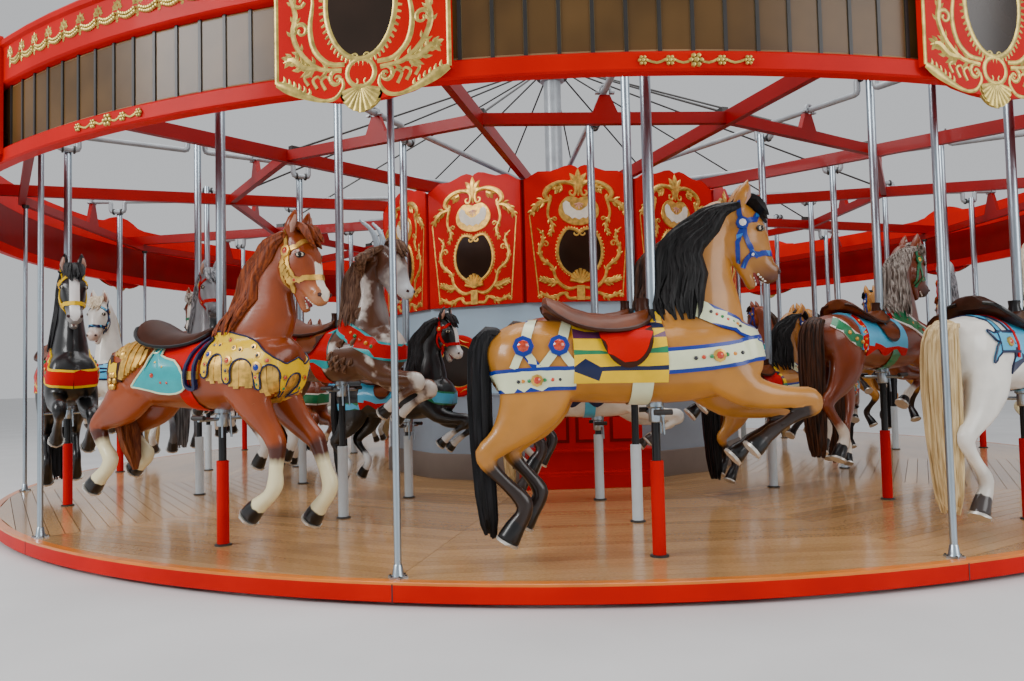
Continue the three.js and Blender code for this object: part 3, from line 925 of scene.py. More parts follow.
def strap(build, tree, controls, width, face, edge=None, thickness=0.007, steps=4, edging=0.16, way="near"):
    """Flat band laid on the carving along the control points, edged where an edge colour is given."""
    line = [laid(tree, p, way) for p in smooth_path(controls, steps)]
    count = len(line)
    shares = [-0.5, -0.5 + edging, 0.5 - edging, 0.5] if edge else [-0.5, 0.5]
    points = []
    for i, (here, normal) in enumerate(line):
        along = (line[min(i + 1, count - 1)][0] - line[max(i - 1, 0)][0]).normalized()
        side = normal.cross(along).normalized()
        row = [laid(tree, here + normal * 0.02 + side * (share * width), way) for share in shares]
        points += [spot - up * SUNK for spot, up in (row[0], row[-1])]
        points += [spot + up * thickness for spot, up in row]
    size = len(shares) + 2
    tops = len(shares) - 1
    rail = edge or face
    for i in range(count - 1):
        a = i * size
        b = a + size
        for j in range(tops):
            rim = edge and j in (0, tops - 1)
            quad = (a + 2 + j, a + 3 + j, b + 3 + j, b + 2 + j)
            build.add([points[p] for p in quad], [QUAD], edge if rim else face)
        for low, high in ((a, a + 2), (a + 1, a + 1 + len(shares))):
            quad = (low, high, high + size, low + size)
            build.add([points[p] for p in quad], [QUAD], rail)


def jewel(build, tree, place, radius, material, setting=None, lift=0.006, way="near"):
    """Low dome set on the carving, in a raised ring where it has a setting."""
    spot, up = laid(tree, place, way)
    matrix = Matrix.Translation(spot + up * lift) @ up.to_track_quat("Z", "Y").to_matrix().to_4x4()
    if setting:
        ring = [(radius * 1.55, -0.004), (radius * 1.5, radius * 0.35), (radius * 1.0, radius * 0.45)]
        spun(build, (0, 0, 0), ring, 8, setting, matrix)
    dome = [(radius, -0.002), (radius * 0.9, radius * 0.42), (radius * 0.55, radius * 0.68),
            (radius * 0.12, radius * 0.78)]
    spun(build, (0, 0, 0), dome, 8, material, matrix)


def panel(build, grid, paint, thickness):
    """Panel over columns of (place, up) pairs, with its edges brought down to the carving."""
    last = len(grid) - 1
    rows = len(grid[0]) - 1
    for i in range(last):
        for j in range(rows):
            corners = [grid[i][j], grid[i + 1][j], grid[i + 1][j + 1], grid[i][j + 1]]
            build.add([spot + up * thickness for spot, up in corners], [QUAD], paint(i, j, last, rows))
    border = [(i, 0) for i in range(last + 1)] + [(last, j) for j in range(1, rows + 1)]
    border += [(i, rows) for i in range(last - 1, -1, -1)] + [(0, j) for j in range(rows - 1, 0, -1)]
    for (i, j), (m, n) in zip(border, border[1:] + border[:1]):
        (one, up), (two, across) = grid[i][j], grid[m][n]
        edge = [one - up * SUNK, one + up * thickness, two + across * thickness, two - across * SUNK]
        build.add(edge, [QUAD], paint(min(i, last - 1), min(j, rows - 1), last, rows))


def plain(material):
    """Paint of one colour for a panel."""
    return lambda *_: material


def rim_paint(face, edge):
    """Border colour on the outermost columns and rows, the face colour inside."""
    return lambda i, j, last, rows: edge if i in (0, last - 1) or j in (0, rows - 1) else face


def cloth(build, tree, columns, reach, paint, rows):
    """Cloth over the back. columns are the x lines, reach(x) the angle down each side."""
    grid = []
    for x in columns:
        line = []
        core = Vector((x, 0, CORE_Z))
        for j in range(rows + 1):
            angle = reach(x) * (2 * j / rows - 1)
            away = Vector((0, math.sin(angle), math.cos(angle)))
            hit, _, _, _ = tree.ray_cast(core + away * 0.7, -away)
            line.append((hit or core + away * 0.2, away))
        grid.append(line)
    panel(build, grid, paint, 0.010)


def flap(build, tree, centre, radii, face, edge, side, lift):
    """Half-round saddle flap on one flank."""
    rings = [0.0, 0.5, 0.88, 1.0]
    sides = 22
    spots = []
    for share in rings:
        for j in range(sides + 1):
            angle = math.pi + math.pi * j / sides
            x = centre[0] + radii[0] * share * math.cos(angle)
            z = centre[1] + radii[1] * share * math.sin(angle)
            hit, _, _, _ = tree.ray_cast(Vector((x, side * 1.0, z)), Vector((0, -side, 0)))
            if hit is None:
                hit, _ = nearest(tree, (x, side * 0.2, z))
            spots.append(hit + Vector((0, side * lift, 0)))
    width = sides + 1
    for i in range(len(rings) - 1):
        for j in range(sides):
            quad = [spots[i * width + j], spots[i * width + j + 1],
                    spots[(i + 1) * width + j + 1], spots[(i + 1) * width + j]]
            build.add(quad if side < 0 else quad[::-1], [QUAD], edge if i == 2 else face)


def saddle(build, leather, rim):
    """Seat with a high cantle behind and a low pommel against the pole."""
    stations = [
        (-0.555, 0.070, 1.205, 1.185), (-0.545, 0.130, 1.210, 1.170), (-0.500, 0.175, 1.195, 1.125),
        (-0.420, 0.200, 1.150, 1.080), (-0.320, 0.195, 1.118, 1.055), (-0.210, 0.170, 1.108, 1.050),
        (-0.110, 0.135, 1.120, 1.065), (-0.045, 0.100, 1.142, 1.095), (-0.030, 0.060, 1.148, 1.120),
    ]
    rings = []
    across = 10
    for x, half, crown, edge in stations:
        top = []
        bottom = []
        for j in range(across + 1):
            share = 2 * j / across - 1
            drop = (crown - edge) * abs(share) ** 2.2
            round_off = 0.020 * (1 - abs(share) ** 4)
            top.append(Vector((x, half * share, crown - drop + round_off - 0.010)))
            bottom.append(Vector((x, half * share * 0.98,
                                  crown - drop - 0.016 - 0.05 * (1 - abs(share) ** 4))))
        rings.append(top + bottom[::-1])
    size = len(rings[0])
    for i in range(len(rings) - 1):
        for j in range(size):
            k = (j + 1) % size
            quad = [rings[i][j], rings[i + 1][j], rings[i + 1][k], rings[i][k]]
            build.add(quad, [QUAD], rim if j in (across, size - 1) else leather)
    build.add(rings[0], [tuple(range(size))], leather)
    build.add(rings[-1], [tuple(reversed(range(size)))], leather)
    for side in (-1, 1):
        edge = [ring[across if side > 0 else 0] + Vector((0, side * 0.003, -0.002)) for ring in rings]
        tube(build, smooth_path(edge, 2), 0.011, rim, 6)
    horn = [(-0.045, 0, 1.135), (-0.050, 0, 1.175), (-0.048, 0, 1.205)]
    tube(build, horn, [0.040, 0.030, 0.034], rim, 10)


def girth(build, tree, face, edge):
    """Band under the belly with painted edges."""
    columns = [-0.145, -0.132, -0.055, -0.042]
    points = {}
    rows = 20
    for i, x in enumerate(columns):
        for j in range(rows + 1):
            angle = math.radians(55) + math.radians(250) * j / rows
            away = Vector((0, math.sin(angle), math.cos(angle)))
            core = Vector((x, 0, CORE_Z))
            hit, _, _, _ = tree.ray_cast(core + away * 0.6, -away)
            points[i, j] = (hit or core + away * 0.2) + away * 0.007
    for i in range(len(columns) - 1):
        for j in range(rows):
            quad = [points[i, j], points[i + 1, j], points[i + 1, j + 1], points[i, j + 1]]
            build.add(quad, [QUAD], face if i == 1 else edge)


def face_details(build, tree, ears):
    """Eyes with lids, nostrils, open mouth with teeth, ear linings."""
    for side in (-1, 1):
        spot, up = nearest(tree, (0.548, side * 0.2, 1.535))
        turn = Matrix.Translation(spot - up * 0.004) @ up.to_track_quat("Z", "Y").to_matrix().to_4x4()
        lids = turn @ Matrix.Diagonal((1.35, 0.85, 1, 1))
        spun(build, (0, 0, 0), [(0.021, -0.004), (0.020, 0.004), (0.016, 0.007)], 16, BLACK, lids)
        spun(build, (0, 0, 0), [(0.0165, 0.0), (0.015, 0.007), (0.009, 0.011), (0.002, 0.0125)], 14,
             EYE_WHITE, lids)
        spun(build, (0, 0, 0), [(0.0135, 0.003), (0.012, 0.010), (0.007, 0.0135), (0.001, 0.0145)], 14, EYE,
             turn)
        jewel(build, tree, (0.652, side * 0.045, 1.325), 0.013, NOSTRIL, None, 0.0)
    tube(build, [(0.520, 0, 1.345), (0.540, 0, 1.300), (0.548, 0, 1.270)], [0.030, 0.020, 0.010], MOUTH, 8)
    for side in (-1, 1):
        for k in range(4):
            upper = (0.548 + 0.010 * k, side * 0.024, 1.318 - 0.014 * k)
            lower = (0.530 + 0.007 * k, side * 0.016, 1.300 - 0.013 * k)
            jewel(build, tree, upper, 0.0075, TOOTH, None, 0.0)
            jewel(build, tree, lower, 0.0070, TOOTH, None, 0.0)
    if ears:
        for side in (-1, 1):
            lining = [(0.470, side * 0.060, 1.675), (0.490, side * 0.066, 1.715),
                      (0.505, side * 0.062, 1.765)]
            tube(build, lining, [0.014, 0.020, 0.006], EAR, 8)


def shoes(build, kind, material):
    """Raised shoe under each hoof."""
    for stations, side in POSES[kind]:
        path, halves = leg_path(stations, side)
        down = (path[-1] - path[-2]).normalized()
        toe = path[-1]
        width = halves[-1][0]
        tube(build, [toe - down * 0.004, toe + down * 0.010], [width * 1.02, width * 0.98], material, 14)


def bridle(build, tree, face, edge, rosette):
    """Cheek pieces, throat strap, brow band and nose band with rosettes."""
    wide = 0.028
    for side in (-1, 1):
        s = side * CHEEK
        bands = [
            [(0.425, s * 0.6, 1.680), (0.445, s, 1.580), (0.485, s, 1.470), (0.535, s, 1.375)],
            [(0.445, s, 1.580), (0.415, s, 1.490), (0.400, s, 1.400), (0.430, s * 0.3, 1.360)],
            [(0.445, s, 1.580), (0.510, s, 1.605), (0.560, s * 0.1, 1.625)],
            [(0.460, s * 0.3, 1.345), (0.515, s, 1.372), (0.590, s, 1.410), (0.630, 0, 1.425)],
        ]
        for band in bands:
            strap(build, tree, band, wide, face, edge, 0.006, 4, 0.41)
        jewel(build, tree, (0.445, s, 1.580), 0.022, rosette, edge or face, 0.006)
        jewel(build, tree, (0.532, s, 1.378), 0.010, rosette, edge or face, 0.006)


def row_of_jewels(build, tree, start, end, count, stones, radius, side, big=None):
    """Stones in turn along a line of (x, z) places, the big one set in gold."""
    for i in range(count):
        share = (i + 0.5) / count
        x = start[0] + (end[0] - start[0]) * share
        z = start[1] + (end[1] - start[1]) * share
        size = radius * (2.0 if i == big else 1.0)
        setting = GOLD if size > radius else None
        jewel(build, tree, (x, side * FLANK, z), size, stones[i % len(stones)], setting, 0.008, "level")


EYE = looking_glass("eye", "140803", 0.18, 0.3)
TOOTH = enamel("tooth", "ece6d8", 0.3, 0.2, 0.05, 40.0)
HORN = enamel("horn", "a9b8c2", 0.3, 0.3, 0.1, 30.0)
EYE_WHITE = looking_glass("eye_white", "cabfa8", 0.25, 0.4)
NOSTRIL = enamel("nostril", "3a1512", 0.4, 0.2, 0.1, 20.0)
MOUTH = enamel("mouth", "7c1512", 0.4, 0.3, 0.1, 20.0)
EAR = enamel("ear_lining", "b58a78", 0.5, 0.1, 0.1, 20.0)
BLUE = enamel("royal_blue", "0a2f8c", 0.28, 0.2, 0.15, 20.0)
NAVY = enamel("navy_edge", "0a1a44", 0.28, 0.2, 0.12, 20.0)
CREAM = enamel("cream_band", "dfe6bd", 0.3, 0.4, 0.05, 12.0)
YELLOW = enamel("yellow_cloth", "efc20a", 0.34, 0.12, 0.08, 12.0, gloss=0.25)
GREEN = enamel("green_line", "1d7a4d", 0.3, 0.4, 0.15, 12.0)
PURPLE = enamel("purple_line", "5a2a4e", 0.3, 0.4, 0.15, 12.0)
TURQUOISE = enamel("turquoise", "17a2a8", 0.3, 0.2, 0.1, 12.0)
BLUE_LINE = enamel("light_blue_line", "2f78c4", 0.3, 0.2, 0.06, 12.0)
SKY = enamel("sky_blue", "4fb4dc", 0.3, 0.2, 0.06, 12.0)
LEATHER = enamel("brown_leather", "66300f", 0.36, 0.05, 0.25, 9.0, gloss=0.18)
LEATHER_DARK = enamel("dark_leather", "3a1a0a", 0.36, 0.05, 0.2, 9.0, gloss=0.18)
RUBY = enamel("ruby_stone", "c2350c", 0.08, 1.0, 0.3, 60.0)
EMERALD = enamel("emerald_stone", "15803f", 0.08, 1.0, 0.3, 60.0)
ONYX = enamel("onyx_stone", "16161c", 0.08, 1.0, 0.3, 60.0)
AMBER = enamel("amber_stone", "dd8a22", 0.08, 1.0, 0.3, 60.0)
SHOE = metal("shoe_metal", "d8d5cc", 0.35, (30, 30, 30), 0.6)


def lines(start, end, pitch, thin):
    """Grid lines with a thin line at every pitch."""
    places = [start]
    while places[-1] < end - 1e-6:
        step = thin if len(places) % 2 == 0 else pitch - thin
        places.append(min(end, places[-1] + step))
    return places


def plaid_cloth(build, tree):
    """Yellow cloth with lines of three colours both ways."""
    columns = lines(-0.430, 0.027, 0.062, 0.011)
    rows = 41
    inks = [NAVY, GREEN, PURPLE]

    def paint(i, j, *_):
        if i % 2 == 1:
            return inks[(i // 2) % 3]
        if j % 4 == 3:
            return inks[(j // 4) % 3]
        return YELLOW

    cloth(build, tree, columns, lambda x: math.radians(118), paint, rows)


def banded_cloth(build, tree, face, edge, start, end, reach, wave):
    """Plain cloth with a painted border and a shaped lower edge."""
    columns = [start, start + 0.018]
    while columns[-1] < end - 0.05:
        columns.append(columns[-1] + 0.035)
    columns += [end - 0.018, end]

    def paint(i, j, last, count):
        border = i in (0, last - 1) or j < 2 or j >= count - 2
        return edge if border else face

    def waved(x):
        return math.radians(reach + wave * math.cos((x - start) * 27))

    cloth(build, tree, columns, waved, paint, 30)


def breast_bands(build, tree, face, edge, stones, side):
    """Breast band and crossing strap with set stones."""
    s = side * FLANK
    strap(build, tree, [(0.020, s, 0.884), (0.200, s, 0.895), (0.380, s, 0.915), (0.500, s * 0.8, 0.935),
                        (0.650, 0, 0.948)],
          0.125, face, edge, 0.009, 5, 0.15, "level")
    strap(build, tree, [(0.180, s, 1.150), (0.270, s, 1.110), (0.380, s, 1.060), (0.500, s * 0.7, 1.015),
                        (0.620, 0, 0.990)],
          0.088, face, edge, 0.009, 5, 0.17, "level")
    row_of_jewels(build, tree, (0.140, 0.893), (0.420, 0.918), 7, stones, 0.011, side, 3)
    row_of_jewels(build, tree, (0.250, 1.130), (0.450, 1.040), 7, stones, 0.009, side)


def hip_bands(build, tree, face, edge, stones, side):
    """Hip band, two hip straps that fork to it, and set stones."""
    s = side * FLANK
    strap(build, tree, [(-0.420, s, 0.818), (-0.560, s, 0.812), (-0.700, s, 0.806), (-0.860, s * 0.8, 0.802),
                        (-1.000, 0, 0.800)],
          0.115, face, edge, 0.009, 5, 0.16, "level")
    for x in (-0.678, -0.500):
        strap(build, tree, [(x + 0.070, 0, 1.250), (x + 0.045, s * 0.5, 1.150), (x, s, 0.970)], 0.050, face,
              edge, 0.008, 5, 0.2, "over")
        strap(build, tree, [(x, s, 0.965), (x - 0.050, s, 0.905), (x - 0.085, s, 0.862)], 0.042, face, edge,
              0.008, 4, 0.2, "level")
        strap(build, tree, [(x, s, 0.965), (x + 0.040, s, 0.905), (x + 0.075, s, 0.862)], 0.042, face, edge,
              0.008, 4, 0.2, "level")
        jewel(build, tree, (x, s, 0.968), 0.034, RUBY, edge, 0.010, "level")
    row_of_jewels(build, tree, (-0.480, 0.810), (-0.740, 0.799), 7, stones, 0.010, side, 3)


def flame_strap(build, tree, side):
    """Strap over the croup that ends in a short band with two flames pointing back."""
    s = side * FLANK
    strap(build, tree, [(-0.580, 0, 1.250), (-0.600, s * 0.6, 1.150), (-0.585, s, 0.990)], 0.060, SKY, NAVY,
          0.008, 5, 0.2, "over")
    shaped(build, tree, [(-0.640, s, 0.895, 1.005), (-0.560, s, 0.900, 1.000), (-0.450, s, 0.895, 0.995)],
           plain(SKY), 0.011, 5)
    upper = [(-0.745, s, 1.008, 1.014), (-0.705, s, 0.985, 1.008), (-0.670, s, 0.960, 0.998),
             (-0.635, s, 0.950, 1.000)]
    lower = [(-0.715, s, 0.838, 0.846), (-0.685, s, 0.850, 0.892), (-0.660, s, 0.870, 0.925),
             (-0.630, s, 0.892, 0.950)]
    outlined(build, tree, upper, SKY, NAVY, 0.010, 5)
    outlined(build, tree, lower, SKY, NAVY, 0.010, 5)
    for level in (0.898, 1.000):
        strap(build, tree, [(-0.635, s, level), (-0.540, s, level), (-0.450, s, level)], 0.014, NAVY, None,
              0.014, 3, 0.16, "level")
    jewel(build, tree, (-0.545, s, 0.950), 0.018, RUBY, GOLD, 0.012, "level")
    strap(build, tree, [(-0.470, 0, 1.250), (-0.470, s * 0.8, 1.100), (-0.470, s, 0.960), (-0.470, s, 0.860)],
          0.022, RED, None,
          0.014, 5, 0.16, "over")


def sloped_breeching(build, tree, side):
    """Wide green strap sloping from the tail to the cloth, with a jewelled drop strap in front."""
    s = side * FLANK
    strap(build, tree, [(-0.800, s * 0.5, 1.030), (-0.710, s, 0.965), (-0.590, s, 0.898), (-0.450, s, 0.868)],
          0.092, GREEN, WHITE, 0.009, 5, 0.14, "level")
    for x, z in ((-0.690, 0.952), (-0.610, 0.906), (-0.550, 0.884)):
        jewel(build, tree, (x, s, z), 0.016, GOLD, None, 0.010, "level")
    strap(build, tree, [(-0.510, 0, 1.250), (-0.515, s * 0.8, 1.100), (-0.515, s, 0.950), (-0.515, s, 0.790)],
          0.062, RED, SKY, 0.015, 5, 0.22, "over")
    for k in range(6):
        jewel(build, tree, (-0.515, s, 1.040 - 0.045 * k), 0.011, AMBER if k % 2 else GOLD, None, 0.016,
              "level")


STONES = [ONYX, RUBY, EMERALD, RUBY, EMERALD, AMBER, ONYX]


def tan_tack(build, tree):
    """Plaid cloth, cream bands and brown saddle."""
    plaid_cloth(build, tree)
    for side in (-1, 1):
        breast_bands(build, tree, CREAM, BLUE, STONES, side)
        hip_bands(build, tree, CREAM, BLUE, STONES, side)
        flap(build, tree, (-0.168, 1.060), (0.135, 0.205), RED, LEATHER_DARK, side, 0.034)
    girth(build, tree, CREAM, BLUE)
    saddle(build, LEATHER, LEATHER_DARK)
    bridle(build, tree, BLUE_LINE, BLUE, WHITE)


def white_tack(build, tree):
    """Bordered cloth, blue bands and the strap with flames."""
    banded_cloth(build, tree, SKY, NAVY, -0.50, 0.05, 110, 10)
    for side in (-1, 1):
        breast_bands(build, tree, SKY, NAVY, STONES, side)
        flame_strap(build, tree, side)
        flap(build, tree, (-0.168, 1.060), (0.130, 0.190), RED, NAVY, side, 0.026)
    girth(build, tree, SKY, NAVY)
    saddle(build, LEATHER_DARK, BLACK)
    bridle(build, tree, SKY, NAVY, GOLD)


def shaped(build, tree, columns, paint, thickness, rows=10):
    """Panel laid level on the body. Each column is (x, y, lower z, upper z)."""
    grid = []
    for x, y, low, high in columns:
        grid.append([laid(tree, (x, y, low + (high - low) * j / rows), "level") for j in range(rows + 1)])
    panel(build, grid, paint, thickness)


def outlined(build, tree, columns, face, edge, thickness, rows=10):
    """Panel laid level on the body with a thin raised border."""
    shaped(build, tree, columns, plain(face), thickness, rows)
    border = [(x, y, low) for x, y, low, _ in columns] + [(x, y, high) for x, y, _, high in reversed(columns)]
    line = []
    for (x, y, z), (u, v, w) in zip(border, border[1:] + border[:1]):
        line += [laid(tree, (x + (u - x) * k / 3, y + (v - y) * k / 3, z + (w - z) * k / 3), "level")
                 for k in range(3)]
    line.append(line[0])
    tube(build, [spot + up * (thickness - 0.001) for spot, up in line], 0.0060, edge, 6)


def swept(value, stops):
    """Linear reading of a value table of (value, result) stops."""
    for (a, low), (b, high) in zip(stops, stops[1:]):
        if value <= b:
            return low + (high - low) * (value - a) / (b - a)
    return stops[-1][1]


ARMOUR_TOP = [(0.030, 1.076), (0.083, 1.112), (0.187, 1.109), (0.321, 1.076), (0.450, 1.010), (0.530, 0.955),
              (0.600, 0.920), (0.683, 0.960)]
ARMOUR_TIPS = [(0.087, 0.857), (0.240, 0.822), (0.427, 0.787), (0.590, 0.750)]
ARMOUR_CRESTS = [0.984, 0.954, 0.918, 0.875]
ARMOUR_FINGER = 0.024
CHEST_FRONT = 0.683
CHEST_R = 0.18


def chest(reach, side, z):
    """Point beside the body: reach runs along the flank, then round the chest to its middle line."""
    turn = min(math.pi / 2, max(0.0, reach - 0.40) / CHEST_R)
    return (min(reach, 0.40) + FLANK * math.sin(turn), side * FLANK * math.cos(turn), z)


def next_tip(k):
    """Reach of the finger after number k, which past the chest's middle is its mirror image."""
    if k + 1 < len(ARMOUR_TIPS):
        return ARMOUR_TIPS[k + 1][0]
    return 2 * CHEST_FRONT - ARMOUR_TIPS[k][0]


def armour_edge():
    """Lower edge as (reach, height): round-ended fingers with arches between them."""
    edge = []
    for k, (tip, low) in enumerate(ARMOUR_TIPS):
        for j in range(5):
            turn = math.pi * (j / 4 - 0.5)
            edge.append((tip + ARMOUR_FINGER * math.sin(turn), low + ARMOUR_FINGER * (1 - math.cos(turn))))
        far = next_tip(k)
        foot = low + ARMOUR_FINGER
        for j in range(1, 14):
            turn = math.pi * j / 14
            reach = (tip + far) / 2 - ((far - tip) / 2 - ARMOUR_FINGER) * math.cos(turn)
            if reach < CHEST_FRONT + 0.001:
                edge.append((reach, foot + (ARMOUR_CRESTS[k] - foot) * math.sin(turn) ** 0.6))
    return edge


def armour(build, tree, side):
    """Yellow breast armour: fingers and arches with gold lappets behind them, set with stones."""
    edge = armour_edge()
    for k, (tip, low) in enumerate(ARMOUR_TIPS):
        far = next_tip(k)
        half = (far - tip) / 2 - 0.010
        top = ARMOUR_CRESTS[k] + 0.010
        for j in range(-2, 3):
            reach = (tip + far) / 2 + 0.42 * j * half
            if reach > CHEST_FRONT + 0.001:
                continue
            end = low - 0.014 - 0.012 * (j % 2)
            line = [chest(reach, side, top + (end - top) * share) for share in (0, 0.33, 0.67, 1)]
            strap(build, tree, line, 0.44 * half, GOLD, None, 0.005 + 0.002 * (j % 2), 2, 0.16, "level")
    columns = [chest(reach, side, 0)[:2] + (low, swept(reach, ARMOUR_TOP)) for reach, low in edge]
    shaped(build, tree, columns, plain(YELLOW), 0.013)
    hem = [laid(tree, chest(reach, side, low), "level") for reach, low in edge]
    crest = [laid(tree, chest(reach, side, swept(reach, ARMOUR_TOP)), "level") for reach, _ in edge]
    for line in (hem, crest):
        tube(build, [spot + up * 0.012 for spot, up in line], 0.0055, NAVY, 6)
    stones = [
        (0.106, 1.032, 0.010, ONYX), (0.150, 1.030, 0.010, ONYX), (0.218, 1.060, 0.012, RUBY),
        (0.268, 1.012, 0.011, ONYX), (0.315, 1.002, 0.011, ONYX), (0.391, 1.012, 0.012, ONYX),
        (0.441, 0.968, 0.012, ONYX), (0.500, 0.940, 0.012, RUBY), (0.100, 0.982, 0.016, BLUE),
        (0.250, 0.945, 0.018, RUBY), (0.440, 0.905, 0.022, BLUE), (0.092, 0.930, 0.010, RUBY),
        (0.092, 0.890, 0.008, ONYX), (0.243, 0.893, 0.011, ONYX), (0.241, 0.850, 0.009, RUBY),
        (0.430, 0.856, 0.011, RUBY), (0.428, 0.818, 0.009, EMERALD), (0.590, 0.850, 0.011, RUBY),
        (0.590, 0.795, 0.010, EMERALD),
    ]
    for reach, z, radius, stone in stones:
        jewel(build, tree, chest(reach, side, z), radius, stone, GOLD, 0.012, "level")


def scroll_drape(build, tree, side):
    """Yellow drape over the rump with a gilt leaf cluster and folds behind the saddle."""
    s = side * FLANK
    columns = [(-0.805, s * 0.8, 0.900, 1.010), (-0.770, s, 0.885, 1.005), (-0.735, s, 0.860, 0.975),
               (-0.690, s, 0.850, 0.962),
               (-0.640, s, 0.850, 0.958), (-0.600, s, 0.845, 0.968)]
    shaped(build, tree, columns, rim_paint(YELLOW, LEATHER_DARK), 0.012, 6)
    for k in range(7):
        x = -0.600 + 0.028 * k
        top = 1.080 - 0.010 * k
        low = 0.860 + 0.014 * k
        controls = [(x, s, top), (x + 0.012, s, (top + low) / 2), (x - 0.008, s, low)]
        strap(build, tree, controls, 0.034, GOLD, None, 0.014 + 0.006 * (k % 2), 4, 0.16, "level")
    for k in range(6):
        turn = 2 * math.pi * k / 6
        ring = (-0.690 + 0.040 * math.cos(turn), s, 0.855 + 0.040 * math.sin(turn))
        jewel(build, tree, ring, 0.020, GOLD, None, 0.008, "level")
    for k in range(5):
        x = -0.565 - 0.022 * k
        leaf = [(x, s, 1.000), (x - 0.020, s, 1.060 - 0.012 * k), (x - 0.014, s, 1.105 - 0.022 * k)]
        strap(build, tree, leaf, 0.022, GOLD, None, 0.016, 3, 0.16, "level")
    jewel(build, tree, (-0.600, s, 1.000), 0.030, GOLD, None, 0.010, "level")


def brown_tack(build, tree):
    """Swept turquoise cloth, breast armour and gilt drape."""
    banded_cloth(build, tree, RED, GOLD, -0.36, 0.03, 98, 0)
    for side in (-1, 1):
        s = side * FLANK
        sweep = [(-0.500, s, 0.820, 0.828), (-0.440, s, 0.812, 0.870), (-0.380, s, 0.800, 0.930),
                 (-0.330, s, 0.792, 1.090), (-0.300, s, 0.786, 1.085), (-0.270, s, 0.782, 0.985),
                 (-0.210, s, 0.778, 0.968), (-0.150, s, 0.780, 0.955),
                 (-0.100, s, 0.790, 0.920), (-0.068, s, 0.808, 0.878)]
        outlined(build, tree, sweep, TURQUOISE, CREAM, 0.022)
        for x, z, radius, stone in ((-0.320, 0.880, 0.014, RUBY), (-0.250, 0.840, 0.008, RUBY),
                                    (-0.200, 0.838, 0.008, RUBY),
                                    (-0.305, 0.950, 0.007, GOLD), (-0.240, 0.925, 0.007, GOLD)):
            jewel(build, tree, (x, s, z), radius, stone, None, 0.022, "level")
        loop = [(0.022, s, 1.095), (-0.040, s, 0.950), (-0.060, s, 0.840), (-0.030, s, 0.806),
                (0.010, s, 0.820),
                (0.020, s, 0.950), (0.070, s, 1.080)]
        strap(build, tree, loop, 0.018, NAVY, None, 0.026, 5, 0.16, "level")
        armour(build, tree, side)
        scroll_drape(build, tree, side)
    girth(build, tree, RED, GOLD)
    saddle(build, LEATHER_DARK, BLACK)
    bridle(build, tree, GOLD, None, RUBY)
    for side in (-1, 1):
        s = side * CHEEK
        for k in range(7):
            x = 0.425 + 0.016 * k
            z = 1.560 - 0.032 * k
            leaf = [(x, s, z), (x - 0.022, s, z - 0.018), (x - 0.034, s, z - 0.044)]
            strap(build, tree, leaf, 0.024, GOLD, None, 0.012, 2)


def collar_tack(build, tree, face, edge, cloth_face, cloth_edge, rein, sloped=False):
    """Wide jewelled collar and a plain bordered cloth."""
    banded_cloth(build, tree, cloth_face, cloth_edge, -0.47, 0.03, 112, 8)
    for side in (-1, 1):
        s = side * FLANK
        strap(build, tree, [(0.060, s, 1.120), (0.200, s, 1.030), (0.350, s, 0.950), (0.480, s * 0.7, 0.900),
                            (0.550, 0, 0.880)],
              0.130, face, edge, 0.010, 5, 0.13, "level")
        row_of_jewels(build, tree, (0.130, 1.075), (0.440, 0.915), 6, [RUBY, AMBER, EMERALD], 0.016, side)
        if sloped:
            sloped_breeching(build, tree, side)
        else:
            strap(build, tree, [(-0.460, s, 0.820), (-0.620, s, 0.812), (-0.790, s * 0.7, 0.808),
                                (-0.870, 0, 0.806)],
                  0.070, face, edge, 0.009, 5, 0.18, "level")
        flap(build, tree, (-0.168, 1.060), (0.125, 0.175), LEATHER, LEATHER_DARK, side, 0.026)
    girth(build, tree, face, edge)
    saddle(build, LEATHER, LEATHER_DARK)
    if rein:
        bridle(build, tree, rein, None, GOLD)


def collar(*colours):
    """Tack with a collar in the colours given."""
    return lambda build, tree: collar_tack(build, tree, *colours)


# Liveries: coat (base, sock, hoof, muzzle, blaze), mane and tail colours, and the tack
LIVERIES = {
    "tan": (("b67a2e", "22130b", "08080a", "5a2f1a", None), ("050505", "1b1a1a"), ("060607", "1a1a1e"),
            tan_tack),
    "white": (("e4e0d6", "cfcac0", "3a3230", "b99d8e", None), ("c9b79a", "ecdfc6"), ("b79a6a", "e6cf9e"),
              white_tack),
    "black": (("0b0b0c", "101012", "060607", "8d8a88", "e8e6e2"), ("0c0c0d", "2a2a2c"), ("0a0a0b", "1f1f22"),
              collar(RED, YELLOW, RED, YELLOW, YELLOW)),
    "ebony": (("0b0b0c", "d9dcdc", "060607", "e8e6e2", "e8e6e2"), ("0c0c0d", "2a2a2c"), ("0a0a0b", "1f1f22"),
              collar(SKY, GREEN, SKY, RED, RED)),
    "brown": (("8c3a05", "e9dfb2", "0c0b0d", "b87a50", "f0e6d2"), ("5e2408", "9a4818"), ("5c2a12", "8a4a24"),
              brown_tack),
    "bay": (("82360f", "2a1610", "08080a", "3a1d12", None), ("23140e", "553521"), ("1c100b", "4a2c1a"),
            collar(TURQUOISE, WHITE, SKY, WHITE, BLUE)),
    "striped": (("763210", "e2d8c8", "08080a", "34190f", "e6dfd2"), ("4a3a2f", "b9b0a6"),
                ("4a2a18", "150e0a"),
                collar(GREEN, WHITE, SKY, RED, GREEN, True)),
    "grey": (("8d8f93", "5c5e62", "16161a", "4a4a4d", None), ("4c4e52", "b0b2b6"), ("55575a", "a0a2a6"),
             collar(SKY, WHITE, WHITE, RED, RED)),
    "goat": (("5c3a26", "d8d6cf", "16120f", "d5dde0", None), ("4e3020", "8a6a52"), ("4e3020", "b9a48c"),
             collar(RED, TURQUOISE, RED, TURQUOISE, None)),
}
